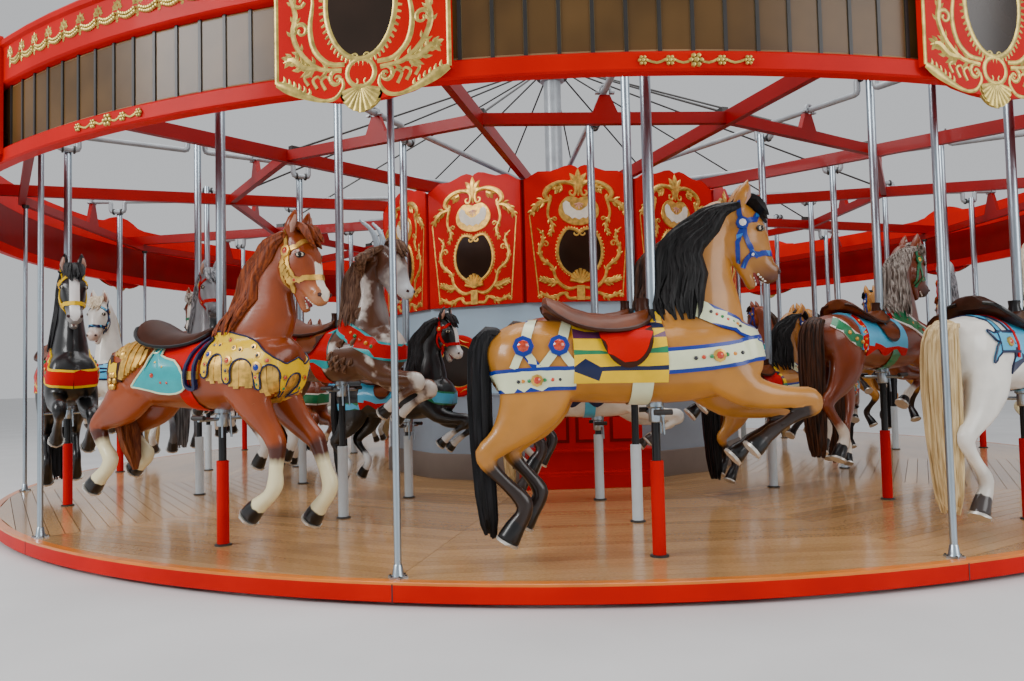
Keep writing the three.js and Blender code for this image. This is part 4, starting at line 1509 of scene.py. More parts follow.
EXTRA = {"goat": dict(patch="d9d3c8"), "brown": dict(sock_from=0.47, knee="4a1c0a"),
         "tan": dict(sock_from=0.46), "bay": dict(sock_from=0.46)}
OUTER_COATS = ["tan", "white", "black", "brown"]
MIDDLE_COATS = ["bay", "striped", "grey", "tan"]
INNER_COATS = ["white", "tan", "striped", "ebony"]


def shaggy(build, tree, material):
    """Rows of carved wool locks over the flanks and the neck."""
    pick = random.Random(8)
    for side in (-1, 1):
        for i in range(22):
            for j in range(5):
                x = -0.80 + 0.058 * i + 0.02 * pick.random()
                z = 1.03 - 0.075 * j + 0.02 * pick.random()
                if -0.50 < x < 0.05:
                    continue
                if x > 0.30:
                    z += 0.42 - 0.03 * j
                    x = 0.10 + 0.19 * pick.random()
                else:
                    z -= max(0.0, 0.10 + 0.5 * x)
                start, _ = nearest(tree, (x, side * FLANK, z))
                middle, _ = nearest(tree, (x - 0.03, side * FLANK, z - 0.05), 0.012)
                end, _ = nearest(tree, (x - 0.02, side * FLANK, z - 0.10), 0.004)
                if max((middle - start).length, (end - middle).length) > 0.09 or start.z < 0.78:
                    continue
                tube(build, smooth_path([start, middle, end], 2), [0.008, 0.018, 0.018, 0.012, 0.002],
                     material, 5)


def horns(build, material):
    """Ribbed horns, curved back."""
    for side in (-1, 1):
        path = smooth_path([(0.385, side * 0.030, 1.630), (0.375, side * 0.045, 1.725),
                            (0.330, side * 0.060, 1.815), (0.255, side * 0.080, 1.880)], 5)
        radii = [0.030 * (1 - 0.05 * k) + (0.003 if k % 2 else 0) for k in range(len(path))]
        tube(build, path, radii, material, 10)


def reached(mesh):
    """Bend a mesh as on a striding horse, whose neck and head reach forwards."""
    for vertex in mesh.vertices:
        x, _, z = vertex.co
        rise = min(1.0, max(0.0, (z + 0.6 * max(0.0, x - 0.25) - 1.10) / 0.30))
        share = rise * min(1.0, max(0.0, (x + 0.06) / 0.06))
        share = share * share * (3 - 2 * share)
        vertex.co += Vector((0.110, 0, -0.045)) * share


def make_livery(name, bodies):
    """The figure's and the tack's meshes for one livery, in full size."""
    kind = {"goat": "goat", "brown": "strider"}.get(name, "horse")
    if kind not in bodies:
        bodies[kind] = body_mesh(kind)
    base = bodies[kind]
    (tone, sock, hoof, muzzle, blaze), mane_tones, tail_tones, dress = LIVERIES[name]
    skin = coat(f"coat_{name}", tone, sock, hoof, muzzle, blaze, **EXTRA.get(name, {}))
    carved = hair(f"mane_{name}", *mane_tones)
    real = hair(f"tail_{name}", *tail_tones)
    tree = BVHTree.FromPolygons([v.co for v in base.vertices], [tuple(p.vertices) for p in base.polygons])
    figure = Build([skin])
    if kind == "goat":
        shaggy(figure, tree, carved)
        horns(figure, HORN)
    mane(figure, tree, carved)
    tail(figure, real, kind)
    face_details(figure, tree, kind != "goat")
    shoes(figure, kind, SHOE)
    tack = Build()
    dress(tack, tree)
    dressed = thinned(welded_mesh(f"tack_{name}", tack), TACK_SHARE, TACK_SHARP)
    meshes = (joined_mesh(f"figure_{name}", base, figure), dressed)
    if kind == "strider":
        for mesh in meshes:
            reached(mesh)
    return meshes


def joined_mesh(name, base, build):
    """The carved body and the added parts as one mesh, keeping the body's stored zones."""
    body = base.copy()
    extra = thinned(build.mesh(name + "_parts"), HAIR_SHARE, HAIR_SHARP)
    for field in ZONES:
        extra.attributes.new(field, "FLOAT", "POINT")
    for material in build.materials:
        body.materials.append(material)
    both = bmesh.new()
    both.from_mesh(body)
    both.from_mesh(extra)
    mesh = bpy.data.meshes.new(name)
    both.to_mesh(mesh)
    both.free()
    for material in build.materials:
        mesh.materials.append(material)
    return mesh


def welded_mesh(name, build):
    """The collected faces as a smooth mesh, with their doubled points merged."""
    mesh = build.mesh(name)
    weld = bmesh.new()
    weld.from_mesh(mesh)
    bmesh.ops.remove_doubles(weld, verts=weld.verts, dist=0.0002)
    weld.to_mesh(mesh)
    weld.free()
    return smoothed(mesh, TACK_SHARP)


def raised(pin):
    """How far a row stands above its lowest place at rest."""
    return 2 * THROW if pin > 0 else 0.0


def pole_mesh(row):
    """Main pole up to the crank pin, lower rod into the sleeve, clamp, strap end and foot-rest bar."""
    _, scale, pin = ROWS[row]
    lift = DECK_TOP + HOOF_LIFT + raised(pin)
    belly = lift + 0.68 * scale
    top = CRANK_Z + pin * THROW + 0.030
    build = Build()
    spun(build, (0, 0, 0), [(POLE_R, belly + 0.10), (POLE_R, top)], 20, CHROME)
    spun(build, (0, 0, 0), [(0.040, lift + 1.085 * scale), (0.042, lift + 1.10 * scale),
                            (0.036, lift + 1.14 * scale), (0.030, lift + 1.15 * scale)], 20, DARK)
    spun(build, (0, 0, 0), [(TUBE_R, DECK_TOP + 0.020 + raised(pin)), (TUBE_R, belly + 0.08)], 18, BLACK)
    spun(build, (0, 0, 0), [(0.030, belly - 0.100), (0.034, belly - 0.095), (0.034, belly - 0.030),
                            (0.044, belly - 0.022), (0.044, belly + 0.030)], 18, CHROME)
    bar = belly - 0.055
    reach = 0.17 * scale
    tube(build, [(0, -reach, bar), (0, reach, bar)], 0.011, CHROME, 10)
    for side in (-1, 1):
        tube(build, [(-0.045, side * reach, bar + 0.012), (0.045, side * reach, bar + 0.012)], 0.014, DARK, 8)
        tube(build, [(0.030, side * 0.030, belly - 0.02), (0.036, side * 0.034, belly - 0.16)], 0.006, CHROME,
             6)
    return welded_mesh(f"pole_{row}", build)


def animals():
    """Every animal of the three rows: its figure, its tack and its pole."""
    bodies = {}
    made = {}
    poles = {row: pole_mesh(row) for row in ROWS}
    for row, coats in (("outer", OUTER_COATS), ("middle", MIDDLE_COATS), ("inner", INNER_COATS)):
        radius, scale, pin = ROWS[row]
        lift = DECK_TOP + HOOF_LIFT + raised(pin)
        for bay in range(BAYS):
            livery = coats[bay % len(coats)]
            kind = "horse"
            if row == "middle" and bay == BAYS - 1:
                livery = kind = "goat"
            if livery not in made:
                made[livery] = make_livery(livery, bodies)
            node = f"{row}_{kind}_{bay + 1:02d}"
            stand = around((bay + 0.5) * BAY) @ Matrix.Translation((pin * POLE_OFFSET, -radius, 0))
            pose = stand @ Matrix.Translation((0, 0, lift)) @ Matrix.Scale(scale, 4)
            link_object(f"{node}_figure", made[livery][0], node, pose, [node])
            link_object(f"{node}_tack", made[livery][1], node, pose)
            link_object(f"{node}_pole", poles[row], node, stand)


# Raised ornament: flat shapes are drawn as (u, v) across and up a board that faces -Y

def relief(build, points, widths, material, depth=0.6, sides=6, steps=3, lift=0.0):
    """Rounded tapering ribbon along a smooth (u, v) line, raised from the board."""
    line = smooth_path([(u, 0, v) for u, v in points], steps)
    if not hasattr(widths, "__len__"):
        widths = [widths] * len(points)
    sizes = [v.x for v in smooth_path([Vector((w, 0, 0)) for w in widths], steps)]
    path = [Vector((p.x, -lift, p.z)) for p in line]
    tube(build, path, [max(0.0008, s / 2) for s in sizes], material, sides // 2, flatten=depth,
         up=(0, -1, 0), half=True)


def spiral(centre, radius, start, turns):
    """Points of a curl that winds in from its outer radius."""
    shrink = 0.22
    steps = 9
    made = []
    for k in range(steps + 1):
        share = k / steps
        angle = start + turns * 2 * math.pi * share
        r = radius * (1 - (1 - shrink) * share)
        made.append((centre[0] + r * math.cos(angle), centre[1] + r * math.sin(angle)))
    return made


def acanthus(build, points, size, material, lobes, lift):
    """Leafy scroll: a tapering stem with curled lobes along it."""
    count = len(points)
    widths = [size * (0.55 + 0.6 * math.sin(math.pi * (0.15 + 0.75 * k / (count - 1)))) for k in range(count)]
    widths[-1] = size * 0.15
    relief(build, points, widths, material, 0.6, 6, 3, lift)
    line = smooth_path([(u, 0, v) for u, v in points], 6)
    for i in range(lobes):
        k = int((0.12 + 0.76 * i / max(1, lobes - 1)) * (len(line) - 1))
        here = line[k]
        along = (line[min(k + 1, len(line) - 1)] - line[max(k - 1, 0)]).normalized()
        reach = size * (1.5 - 0.7 * i / lobes)
        for side in (-1, 1):
            across = Vector((-along.z, 0, along.x)) * side
            one = here + across * reach * 0.55 + along * reach * 0.30
            two = here + across * reach * 0.95 + along * reach * 0.95
            relief(build, [(here.x, here.z), (one.x, one.z), (two.x, two.z)],
                   [size * 0.70, size * 0.85, size * 0.12], material, 0.55, 5, 2, lift)


def mirrored(draw, build, points, *rest):
    """Draw the shape and its mirror image."""
    draw(build, points, *rest)
    draw(build, [(-u, v) for u, v in points], *rest)


def curls(build, centre, radius, start, turns, wide, thin, material, depth):
    """A curl and its mirror image, thinner towards the heart."""
    mirrored(relief, build, spiral(centre, radius, start, turns), [wide] * 5 + [thin] * 5, material, depth)


def closed_relief(build, points, width, material, depth, sides=6):
    """Raised ribbon round a closed outline."""
    count = len(points)
    loop = [Vector((u, 0, v)) for u, v in points]
    made = []
    spans = sides // 2
    ring = spans + 1
    for i, here in enumerate(loop):
        along = (loop[(i + 1) % count] - loop[i - 1]).normalized()
        across = Vector((-along.z, 0, along.x))
        for j in range(ring):
            turn = math.pi * j / spans
            made.append(here + across * (math.cos(turn) * width / 2)
                        + Vector((0, -math.sin(turn) * width / 2 * depth, 0)))
    faces = []
    for i in range(count):
        n = (i + 1) % count
        for j in range(spans):
            faces.append((i * ring + j, i * ring + j + 1, n * ring + j + 1, n * ring + j))
    build.add(made, faces, material)


def slab(build, outline, front, back, material):
    """Flat board with the (u, v) outline between two depths."""
    count = len(outline)
    points = [(u, -front, v) for u, v in outline] + [(u, -back, v) for u, v in outline]
    faces = [tuple(range(count)), tuple(reversed(range(count, 2 * count)))]
    faces += [(i, count + i, count + (i + 1) % count, (i + 1) % count) for i in range(count)]
    build.add(points, faces, material)


def ellipse(centre, half, steps=32):
    """Points of an oval outline."""
    return [(centre[0] + half[0] * math.cos(2 * math.pi * k / steps),
             centre[1] + half[1] * math.sin(2 * math.pi * k / steps)) for k in range(steps)]


def lobed(centre, half, notch, steps, foot):
    """Oval with a cusp pressed into its top. foot is the depth below the centre."""
    made = []
    for k in range(steps):
        angle = 2 * math.pi * k / steps
        off_top = abs(math.atan2(math.sin(angle - math.pi / 2), math.cos(angle - math.pi / 2)))
        share = 1 - notch * max(0.0, 1 - off_top / 0.6)
        tall = half[1] if math.sin(angle) > 0 else foot
        made.append((centre[0] + half[0] * math.cos(angle) * share,
                     centre[1] + tall * math.sin(angle) * share))
    return made


def beads(build, outline, radius, material):
    """Domes on the points of an outline."""
    sides = 5
    faces = [(j, (j + 1) % sides, sides + (j + 1) % sides, sides + j) for j in range(sides)]
    faces += [(sides + j, sides + (j + 1) % sides, 2 * sides) for j in range(sides)]
    for u, v in outline:
        points = []
        for share, rise in ((1.0, 0.0), (0.75, 0.75)):
            for j in range(sides):
                turn = 2 * math.pi * j / sides
                away = radius * share
                points.append((u + away * math.cos(turn), -radius * rise, v + away * math.sin(turn)))
        build.add(points + [(u, -radius * 1.1, v)], faces, material)


def shell(build, centre, radius, material, ribs, spread, down, lift, depth=1.0):
    """Scallop shell: tapering ribs fanned from a hinge."""
    hinge = (centre[0] - math.cos(down) * radius * 0.55, centre[1] - math.sin(down) * radius * 0.55)
    for i in range(ribs):
        share = i / (ribs - 1) - 0.5
        angle = down + spread * share
        reach = radius * 1.55 * (1 - 0.45 * abs(share))
        tip = (hinge[0] + reach * math.cos(angle), hinge[1] + reach * math.sin(angle))
        middle = ((hinge[0] + tip[0]) / 2, (hinge[1] + tip[1]) / 2)
        widths = [radius * 0.14, radius * 0.30, radius * 0.40]
        relief(build, [hinge, middle, tip], widths, material, depth, 6, 2, lift)
    relief(build, [(hinge[0] - radius * 0.3, hinge[1]), hinge, (hinge[0] + radius * 0.3, hinge[1])],
           [radius * 0.16, radius * 0.30, radius * 0.16], material, depth, 6, 2, lift)


def palmette(build, base, size, material, lift=0.0):
    """Upright leaf of five lobes."""
    for angle, reach in ((0, 1.0), (0.5, 0.85), (-0.5, 0.85), (1.05, 0.62), (-1.05, 0.62)):
        way = (math.sin(angle), math.cos(angle))
        bend = (base[0] + way[0] * reach * size * 0.55, base[1] + way[1] * reach * size * 0.5 + size * 0.06)
        tip = (base[0] + way[0] * reach * size * 1.05, base[1] + way[1] * reach * size * 0.92)
        relief(build, [base, bend, tip], [size * 0.16, size * 0.30, size * 0.05], material, 0.7, 6, 3, lift)


# Shields on the cornice

def shield_outline():
    """Shell tip, two hanging lobes, straight sides and a low crown."""
    half = SHIELD_HALF
    lower = [(0.0, 2.225), (0.080, 2.232), (0.120, 2.236), (0.170, 2.245), (0.230, 2.258), (0.290, 2.282),
             (0.345, 2.318), (0.385, 2.338), (half, SHIELD_CORNER)]
    upper = [(half, CORNICE_TOP + 0.018), (0.300, 3.020), (0.220, 3.058), (0.110, 3.095),
             (0.0, SHIELD_CROWN - 0.004)]
    right = lower + upper
    left = [(-u, v) for u, v in reversed(right[1:-1])]
    return right + left


def shield_hem(build):
    """Straight gilt sides, a wavy lower hem and a row of leaves along it."""
    for side in (-1, 1):
        u = side * (SHIELD_HALF - 0.009)
        relief(build, [(u, SHIELD_CORNER + 0.005), (u, 2.65), (u, CORNICE_TOP + 0.015)], 0.020, GOLD_PALE,
               0.35)
    hem = [(0.396, 2.340), (0.345, 2.316), (0.281, 2.282), (0.192, 2.247), (0.135, 2.246), (0.104, 2.264),
           (0.082, 2.300), (0.088, 2.334)]
    mirrored(relief, build, hem, [0.026, 0.048, 0.036, 0.018, 0.018, 0.018, 0.016, 0.012], GOLD_PALE, 0.35)
    for k in range(6):
        u = 0.372 - 0.024 * k
        v = 2.336 - 0.013 * k
        leaf = [(u, v), (u - 0.014, v + 0.014), (u - 0.010, v + 0.034)]
        mirrored(relief, build, leaf, [0.018, 0.016, 0.004], GOLD_PALE, 0.35)


def shield_mirror(build):
    """Oval mirror in a gilt rim with short ribs round it."""
    slab(build, ellipse((0, 2.660), (0.150, 0.236)), 0.0015, -0.001, MIRROR_DARK)
    closed_relief(build, ellipse((0, 2.660), (0.160, 0.246), 48), 0.026, GOLD_PALE, 0.3)
    for u, v in ellipse((0, 2.660), (0.183, 0.268), 58):
        away = Vector((u, v - 2.660)).normalized() * 0.010
        relief(build, [(u - away.x, v - away.y), (u + away.x, v + away.y)], [0.020, 0.013], GOLD_PALE, 0.4, 5,
               1, -0.001)


def shield_boss(build):
    """Round boss between curls, over a fan with a shell."""
    boss = (0, 2.352)
    slab(build, ellipse(boss, (0.056, 0.054), 24), 0.0015, -0.001, RED)
    closed_relief(build, ellipse(boss, (0.062, 0.060), 28), 0.024, GOLD_PALE, 0.3)
    curls(build, (0.030, 2.424), 0.016, 3.0, -0.9, 0.012, 0.008, GOLD_PALE, 0.4)
    curls(build, (0.028, 2.312), 0.016, 2.0, 0.9, 0.012, 0.008, GOLD_PALE, 0.4)
    turns = [0.21 * k - 1.26 for k in range(13)]
    fan = [(0.105 * math.sin(turn), 2.296 - 0.112 * math.cos(turn)) for turn in turns]
    slab(build, fan + [(0.020, 2.300), (-0.020, 2.300)], 0.0, -0.012, GOLD_PALE)
    shell(build, (0, 2.254), 0.076, GOLD_PALE, 11, 2.5, -math.pi / 2, -0.001, 0.4)


def shield_scrolls(build):
    """Ribbons, leafy scrolls and curls on both sides of the mirror."""
    inner = [(0.075, 2.395), (0.150, 2.405), (0.215, 2.470), (0.236, 2.570), (0.222, 2.680), (0.232, 2.760)]
    mirrored(relief, build, inner, [0.020, 0.024, 0.026, 0.024, 0.016, 0.006], GOLD_PALE, 0.35)
    outer = [(0.090, 2.372), (0.190, 2.386), (0.275, 2.455), (0.318, 2.550), (0.305, 2.640), (0.328, 2.740),
             (0.300, 2.840)]
    mirrored(acanthus, build, outer, 0.024, GOLD_PALE, 7, -0.001)
    curls(build, (0.278, 2.565), 0.036, 0.2, 1.1, 0.020, 0.013, GOLD_PALE, 0.4)
    curls(build, (0.290, 2.700), 0.032, 3.4, 1.1, 0.018, 0.012, GOLD_PALE, 0.4)
    curls(build, (0.112, 2.336), 0.040, 2.2, -1.2, 0.020, 0.012, GOLD_PALE, 0.4)
    mirrored(relief, build, ellipse((0.112, 2.336), (0.010, 0.010), 5), 0.010, GOLD_PALE, 0.5)
    for u, v, reach in ((0.165, 2.290, 0.060), (0.205, 2.300, 0.055), (0.245, 2.318, 0.050)):
        curl = [(u, v), (u + 0.020, v + reach * 0.7), (u - 0.004, v + reach), (u - 0.016, v + reach * 0.7)]
        mirrored(relief, build, curl, [0.016, 0.014, 0.012, 0.006], GOLD_PALE, 0.45)
    branch = [(0.200, 2.392), (0.265, 2.398), (0.320, 2.440), (0.365, 2.432)]
    mirrored(acanthus, build, branch, 0.030, GOLD_PALE, 6, -0.001)


def shield_crown(build):
    """Leaves, curls and a palmette above the mirror, and the gilt crown."""
    mirrored(acanthus, build, [(0.055, 2.945), (0.150, 2.965), (0.235, 2.925), (0.275, 2.855)], 0.030,
             GOLD_PALE, 6, -0.001)
    curls(build, (0.062, 2.982), 0.036, 3.6, -1.1, 0.020, 0.012, GOLD_PALE, 0.4)
    palmette(build, (0, 2.935), 0.125, GOLD_PALE, -0.004)
    crown = [(SHIELD_HALF - 0.010, CORNICE_TOP + 0.010), (0.295, 3.012), (0.215, 3.050), (0.107, 3.086),
             (0.0, 3.098)]
    mirrored(relief, build, crown, 0.018, GOLD_PALE, 0.35)


def shield():
    """Red board with a gilt hem, oval mirror, round boss, shell and leafy scrolls."""
    build = Build()
    slab(build, shield_outline(), 0.0, -0.030, RED)
    shield_hem(build)
    shield_mirror(build)
    shield_boss(build)
    shield_scrolls(build)
    shield_crown(build)
    return build


def garland():
    """One upright spray of leaves with a hanging drop, and the beaded swag to the next spray."""
    build = Build()
    spray = [(0, 0.050, 0.016), (0.016, 0.038, 0.018), (-0.016, 0.038, 0.018), (0.024, 0.020, 0.014),
             (-0.024, 0.020, 0.014), (0, 0.018, 0.018), (0, -0.006, 0.014), (0, -0.028, 0.013),
             (0, -0.046, 0.010)]
    for i, (u, v, reach) in enumerate(spray):
        for k in range(4):
            turn = math.pi * k / 2 + i
            tip = (u + reach * math.cos(turn), v + reach * math.sin(turn))
            relief(build, [(u, v), tip], [0.013, 0.005], GOLD_PALE, 0.6, 4, 1)
    for k in range(8):
        share = (k + 0.5) / 8
        u = 0.012 + 0.119 * share
        v = -0.016 - 0.018 * math.sin(math.pi * share)
        beads(build, [(u, v + 0.010), (u + 0.004, v - 0.008)], 0.011, GOLD_PALE)
    return build


def rail_scroll():
    """Thin wave with five rosettes for the middle of a lower rail."""
    build = Build()
    wave = [(0.0, 0.008), (0.055, -0.010), (0.110, 0.010), (0.165, -0.010), (0.225, 0.008)]
    mirrored(relief, build, wave, 0.011, GOLD_PALE, 0.6)
    for u, size in ((0, 0.022), (0.110, 0.016), (-0.110, 0.016), (0.225, 0.015), (-0.225, 0.015)):
        beads(build, ellipse((u, 0), (size, size), 6), size * 0.55, GOLD_PALE)
        beads(build, [(u, 0)], size * 0.7, GOLD_PALE)
    return build


def on_ring(radius, angle, z=0.0):
    """Place a board drawing on the cornice face at an angle."""
    return around(angle) @ Matrix.Translation((0, -radius, z))


def cornice_rails():
    """Red rails below and above the mirrors, with scrolls on the lower and garlands on the upper."""
    steps = 144
    rails = Build()
    low = CORNICE_BOTTOM + 0.002
    mid = MIRROR_BOTTOM + 0.002
    high = MIRROR_TOP - 0.002
    top = CORNICE_TOP - 0.002
    face = CORNICE_R + 0.006
    lip = CORNICE_R + 0.024
    turned_ring(rails, [(CORNICE_IN, low), (face - 0.010, low), (face, low + 0.008), (face, mid - 0.016),
                        (face - 0.008, mid - 0.006), (face - 0.024, mid), (CORNICE_IN, mid)], steps, RED)
    turned_ring(rails, [(CORNICE_IN, high), (face - 0.024, high), (face - 0.008, high + 0.006),
                        (face, high + 0.016), (face, top - 0.050), (lip - 0.002, top - 0.038),
                        (lip, top - 0.016), (lip - 0.012, top),
                        (CORNICE_IN, top)], steps, RED)
    turned_ring(rails, [(CORNICE_IN + 0.002, mid - 0.010), (CORNICE_IN + 0.018, mid - 0.010),
                        (CORNICE_IN + 0.018, high + 0.010), (CORNICE_IN + 0.002, high + 0.010)], steps,
                RED_DEEP)
    swag = garland()
    wave = rail_scroll()
    for i in range(BAYS):
        middle = (i + 0.5) * BAY
        rails.copies(wave, [on_ring(face, middle, (low + mid) / 2 - 0.004)])
        level = (high + top) / 2
        rails.copies(swag, [on_ring(face, middle + (k - 6.5) * 0.0262, level) for k in range(13)])
    rails.make("cornice_rails", TURN, replaces=["cornice"])


def cornice_mirrors():
    """Bevelled panes between the rails, with a dark joint after each; the bevels carry a painted highlight, a
    brighter copy of the panes' mirror colour.
    """
    panes = Build()
    count = 20
    back = 5.413
    front = 5.418
    joint = 5.419
    bevel = 0.010
    half = 5.414 * math.tan(BAY / count / 2)
    low = MIRROR_BOTTOM + 0.005
    high = MIRROR_TOP - 0.005
    outer = [(-half, low), (half, low), (half, high), (-half, high)]
    inner = [(-half + bevel, low + bevel), (half - bevel, low + bevel),
             (half - bevel, high - bevel), (-half + bevel, high - bevel)]
    points = [(u, -back, v) for u, v in outer] + [(u, -front, v) for u, v in inner]
    strip = (0.016, 0.010, MIRROR_TOP - MIRROR_BOTTOM - 0.006)
    for i in range(BAYS * count):
        place = around((i + 0.5) * BAY / count)
        panes.add(points, [(4, 5, 6, 7)], MIRROR, place)
        # The bevel faces are painted brighter than the pane: a painted highlight.
        panes.add(points, [(0, 1, 5, 4), (1, 2, 6, 5), (2, 3, 7, 6), (3, 0, 4, 7)], BEVEL_HIGHLIGHT, place)
        box(panes, (half, -joint, (MIRROR_BOTTOM + MIRROR_TOP) / 2), strip, DARK, place)
    panes.make("cornice_mirrors", TURN)


def cornice_shields():
    """A shield at the end of each sweep."""
    shields = Build()
    shields.copies(shield(), [on_ring(SHIELD_FRONT - 0.006, i * BAY) for i in range(BAYS)])
    shields.make("cornice_shields", TURN)


# Centre drum

WALL_FACE = DRUM_R * math.cos(BAY / 2)
PANEL_FRONT = WALL_FACE + 0.038


def panel_crest(build):
    """Gilt edges, palmette, arch and wings under the crest."""
    edge = [(0.431, 2.420), (0.406, 2.150), (0.381, 1.880), (0.364, 1.690)]
    mirrored(relief, build, edge, 0.013, GOLD, 0.7)
    palmette(build, (0, 2.662), 0.172, GOLD)
    relief(build, [(0, 2.580), (0, 2.635), (0, 2.700)], [0.012, 0.034, 0.050], GOLD, 0.7)
    arch = [(0.052, 2.630), (0.074, 2.620), (0.069, 2.594), (0.038, 2.588), (0.022, 2.632), (0.040, 2.680),
            (0.098, 2.702), (0.160, 2.700), (0.217, 2.680), (0.272, 2.640), (0.292, 2.590), (0.264, 2.557),
            (0.240, 2.575), (0.256, 2.592)]
    bands = [0.014, 0.018, 0.022, 0.024, 0.028, 0.032, 0.036, 0.040, 0.046, 0.050, 0.046, 0.034, 0.026, 0.016]
    mirrored(relief, build, arch, bands, GOLD, 0.7)
    mirrored(relief, build, arch[5:10], 0.012, GOLD_PALE, 1.0, 6, 3, 0.012)
    mirrored(acanthus, build, [(0.140, 2.668), (0.180, 2.650), (0.205, 2.635)], 0.030, GOLD, 3, 0.002)
    wing = [(0.235, 2.545), (0.290, 2.540), (0.343, 2.519), (0.385, 2.475), (0.423, 2.419)]
    mirrored(relief, build, wing, [0.020, 0.034, 0.048, 0.050, 0.016], GOLD, 0.7)
    mirrored(acanthus, build, wing[1:], 0.032, GOLD, 3, 0.004)


def panel_vines(build):
    """Leafy vines that hang from the wings, with a curl each."""
    vine = [(0.243, 2.569), (0.268, 2.469), (0.268, 2.403), (0.234, 2.336), (0.240, 2.280), (0.268, 2.228)]
    mirrored(relief, build, vine, [0.030, 0.026, 0.024, 0.028, 0.020, 0.006], GOLD, 0.7)
    mirrored(acanthus, build, vine[2:], 0.022, GOLD, 4, 0.002)
    curls(build, (0.212, 2.378), 0.022, 0.0, 1.0, 0.016, 0.010, GOLD, 0.8)


def panel_mirror(build):
    """Notched oval mirror with ribs and curls, over a shell on a stem."""
    mirror = lobed((0, 2.087), (0.194, 0.248), 0.30, 60, 0.212)
    slab(build, mirror, 0.005, 0.0, MIRROR_DARK)
    closed_relief(build, mirror, 0.030, GOLD, 0.9)
    for u, v in lobed((0, 2.087), (0.210, 0.264), 0.28, 52, 0.228):
        away = Vector((u, v - 2.087)).normalized() * 0.007
        relief(build, [(u - away.x, v - away.y), (u + away.x, v + away.y + 0.004)], [0.020, 0.012], GOLD, 0.5,
               5, 1)
    curls(build, (0.030, 2.258), 0.028, 2.6, 1.1, 0.022, 0.013, GOLD, 0.9)
    shell(build, (0, 1.868), 0.078, GOLD, 9, 2.6, math.pi / 2, 0.006)
    slab(build, [(-0.034, 1.672), (0.034, 1.672), (0.034, 1.800), (-0.034, 1.800)], 0.012, 0.0, GOLD)


def panel_scrolls(build):
    """Leafy scrolls beside the mirror and at the foot."""
    side = [(0.025, 1.789), (0.100, 1.772), (0.167, 1.805), (0.218, 1.872), (0.243, 1.963), (0.326, 2.030),
            (0.351, 2.120), (0.326, 2.187), (0.318, 2.253), (0.368, 2.303)]
    mirrored(relief, build, side, [0.020, 0.034, 0.034, 0.028, 0.030, 0.034, 0.030, 0.028, 0.020, 0.008],
             GOLD, 0.7)
    mirrored(acanthus, build, side[3:], 0.022, GOLD, 6, 0.001)
    curls(build, (0.296, 2.162), 0.028, 0.4, 1.1, 0.018, 0.011, GOLD, 0.8)
    low = [(0.200, 1.825), (0.260, 1.830), (0.310, 1.852), (0.365, 1.866)]
    mirrored(relief, build, low, [0.020, 0.038, 0.036, 0.010], GOLD, 0.7)
    mirrored(acanthus, build, low, 0.026, GOLD, 5, 0.003)
    foot = [(0.038, 1.690), (0.100, 1.688), (0.142, 1.732), (0.184, 1.722), (0.243, 1.692), (0.335, 1.728),
            (0.360, 1.695)]
    mirrored(relief, build, foot, [0.028, 0.030, 0.024, 0.034, 0.030, 0.030, 0.012], GOLD, 0.7)
    mirrored(acanthus, build, foot[3:], 0.022, GOLD, 5, 0.002)
    curls(build, (0.128, 1.722), 0.024, 0.0, 1.0, 0.016, 0.010, GOLD, 0.8)


def drum_panel():
    """Crested red board with a kidney cartouche, a notched oval mirror, scrolls, a shell and a stem."""
    build = Build()
    half = DRUM_R * math.sin(BAY / 2) - 0.010
    right = [(half, PANEL_BOTTOM), (half, 2.735), (0.440, 2.742), (0.405, 2.768), (0.350, 2.800),
             (0.240, 2.802),
             (0.170, 2.825), (0.120, 2.845), (0.060, 2.855), (0.020, 2.842), (0, 2.826)]
    outline = right + [(-u, v) for u, v in reversed(right[:-1])]
    slab(build, outline, 0.0, -0.030, RED)
    panel_crest(build)
    panel_vines(build)
    cartouche(build)
    panel_mirror(build)
    panel_scrolls(build)
    return build


def cartouche(build):
    """Kidney-shaped gilt cartouche with a cream crescent and a small shell in its notch."""
    middle = (0, 2.448)
    kidney = lobed(middle, (0.170, 0.146), 0.30, 52, 0.118)
    slab(build, kidney, 0.008, 0.0, GOLD)
    closed_relief(build, kidney, 0.018, GOLD, 1.0)
    half = [(0, 2.372), (0.035, 2.392), (0.060, 2.380), (0.085, 2.405), (0.122, 2.425), (0.138, 2.470),
            (0.140, 2.515), (0.112, 2.540), (0.080, 2.520), (0.072, 2.490), (0.045, 2.470), (0.020, 2.452)]
    crescent = half + [(-u, v) for u, v in reversed(half[1:])]
    slab(build, crescent, 0.0115, 0.006, CARTOUCHE)
    shell(build, (0, 2.500), 0.034, ROSE, 5, 2.4, -math.pi / 2, 0.008)


def drum_walls():
    """Wall, wainscot and plinth of the centre drum, with a dark red post at each corner."""
    walls = Build()
    inner = DRUM_R - 0.05
    foot = 0.112
    plinth = 0.340
    rail = 0.870
    for low, high, paint, sink in ((plinth, rail, WAINSCOT, 0.0), (rail, 2.745, WALL, -0.002)):
        turned_ring(walls, [(DRUM_R + sink, low), (DRUM_R + sink, high), (inner, high), (inner, low)], BAYS,
                    paint)
    turned_ring(walls, [(DRUM_R + 0.018, foot), (DRUM_R + 0.018, plinth - 0.015), (DRUM_R + 0.008, plinth),
                        (inner, plinth), (inner, foot)], BAYS, PLINTH)
    turned_ring(walls, [(DRUM_R + 0.010, 0.862), (DRUM_R + 0.010, 0.882), (inner, 0.882), (inner, 0.862)],
                BAYS, WAINSCOT)
    for matrix in at_sweeps():
        box(walls, (0, -DRUM_R + 0.004, 2.2), (0.030, 0.020, 1.08), RED_DEEP, matrix)
    walls.make("drum_walls", TURN, replaces=["centre_drum"])


def drum_panels():
    """A crested panel on each side of the drum."""
    panels = Build()
    panels.copies(drum_panel(), [matrix @ Matrix.Translation((0, -PANEL_FRONT, 0)) for matrix in at_bays()])
    panels.make("drum_panels", TURN)


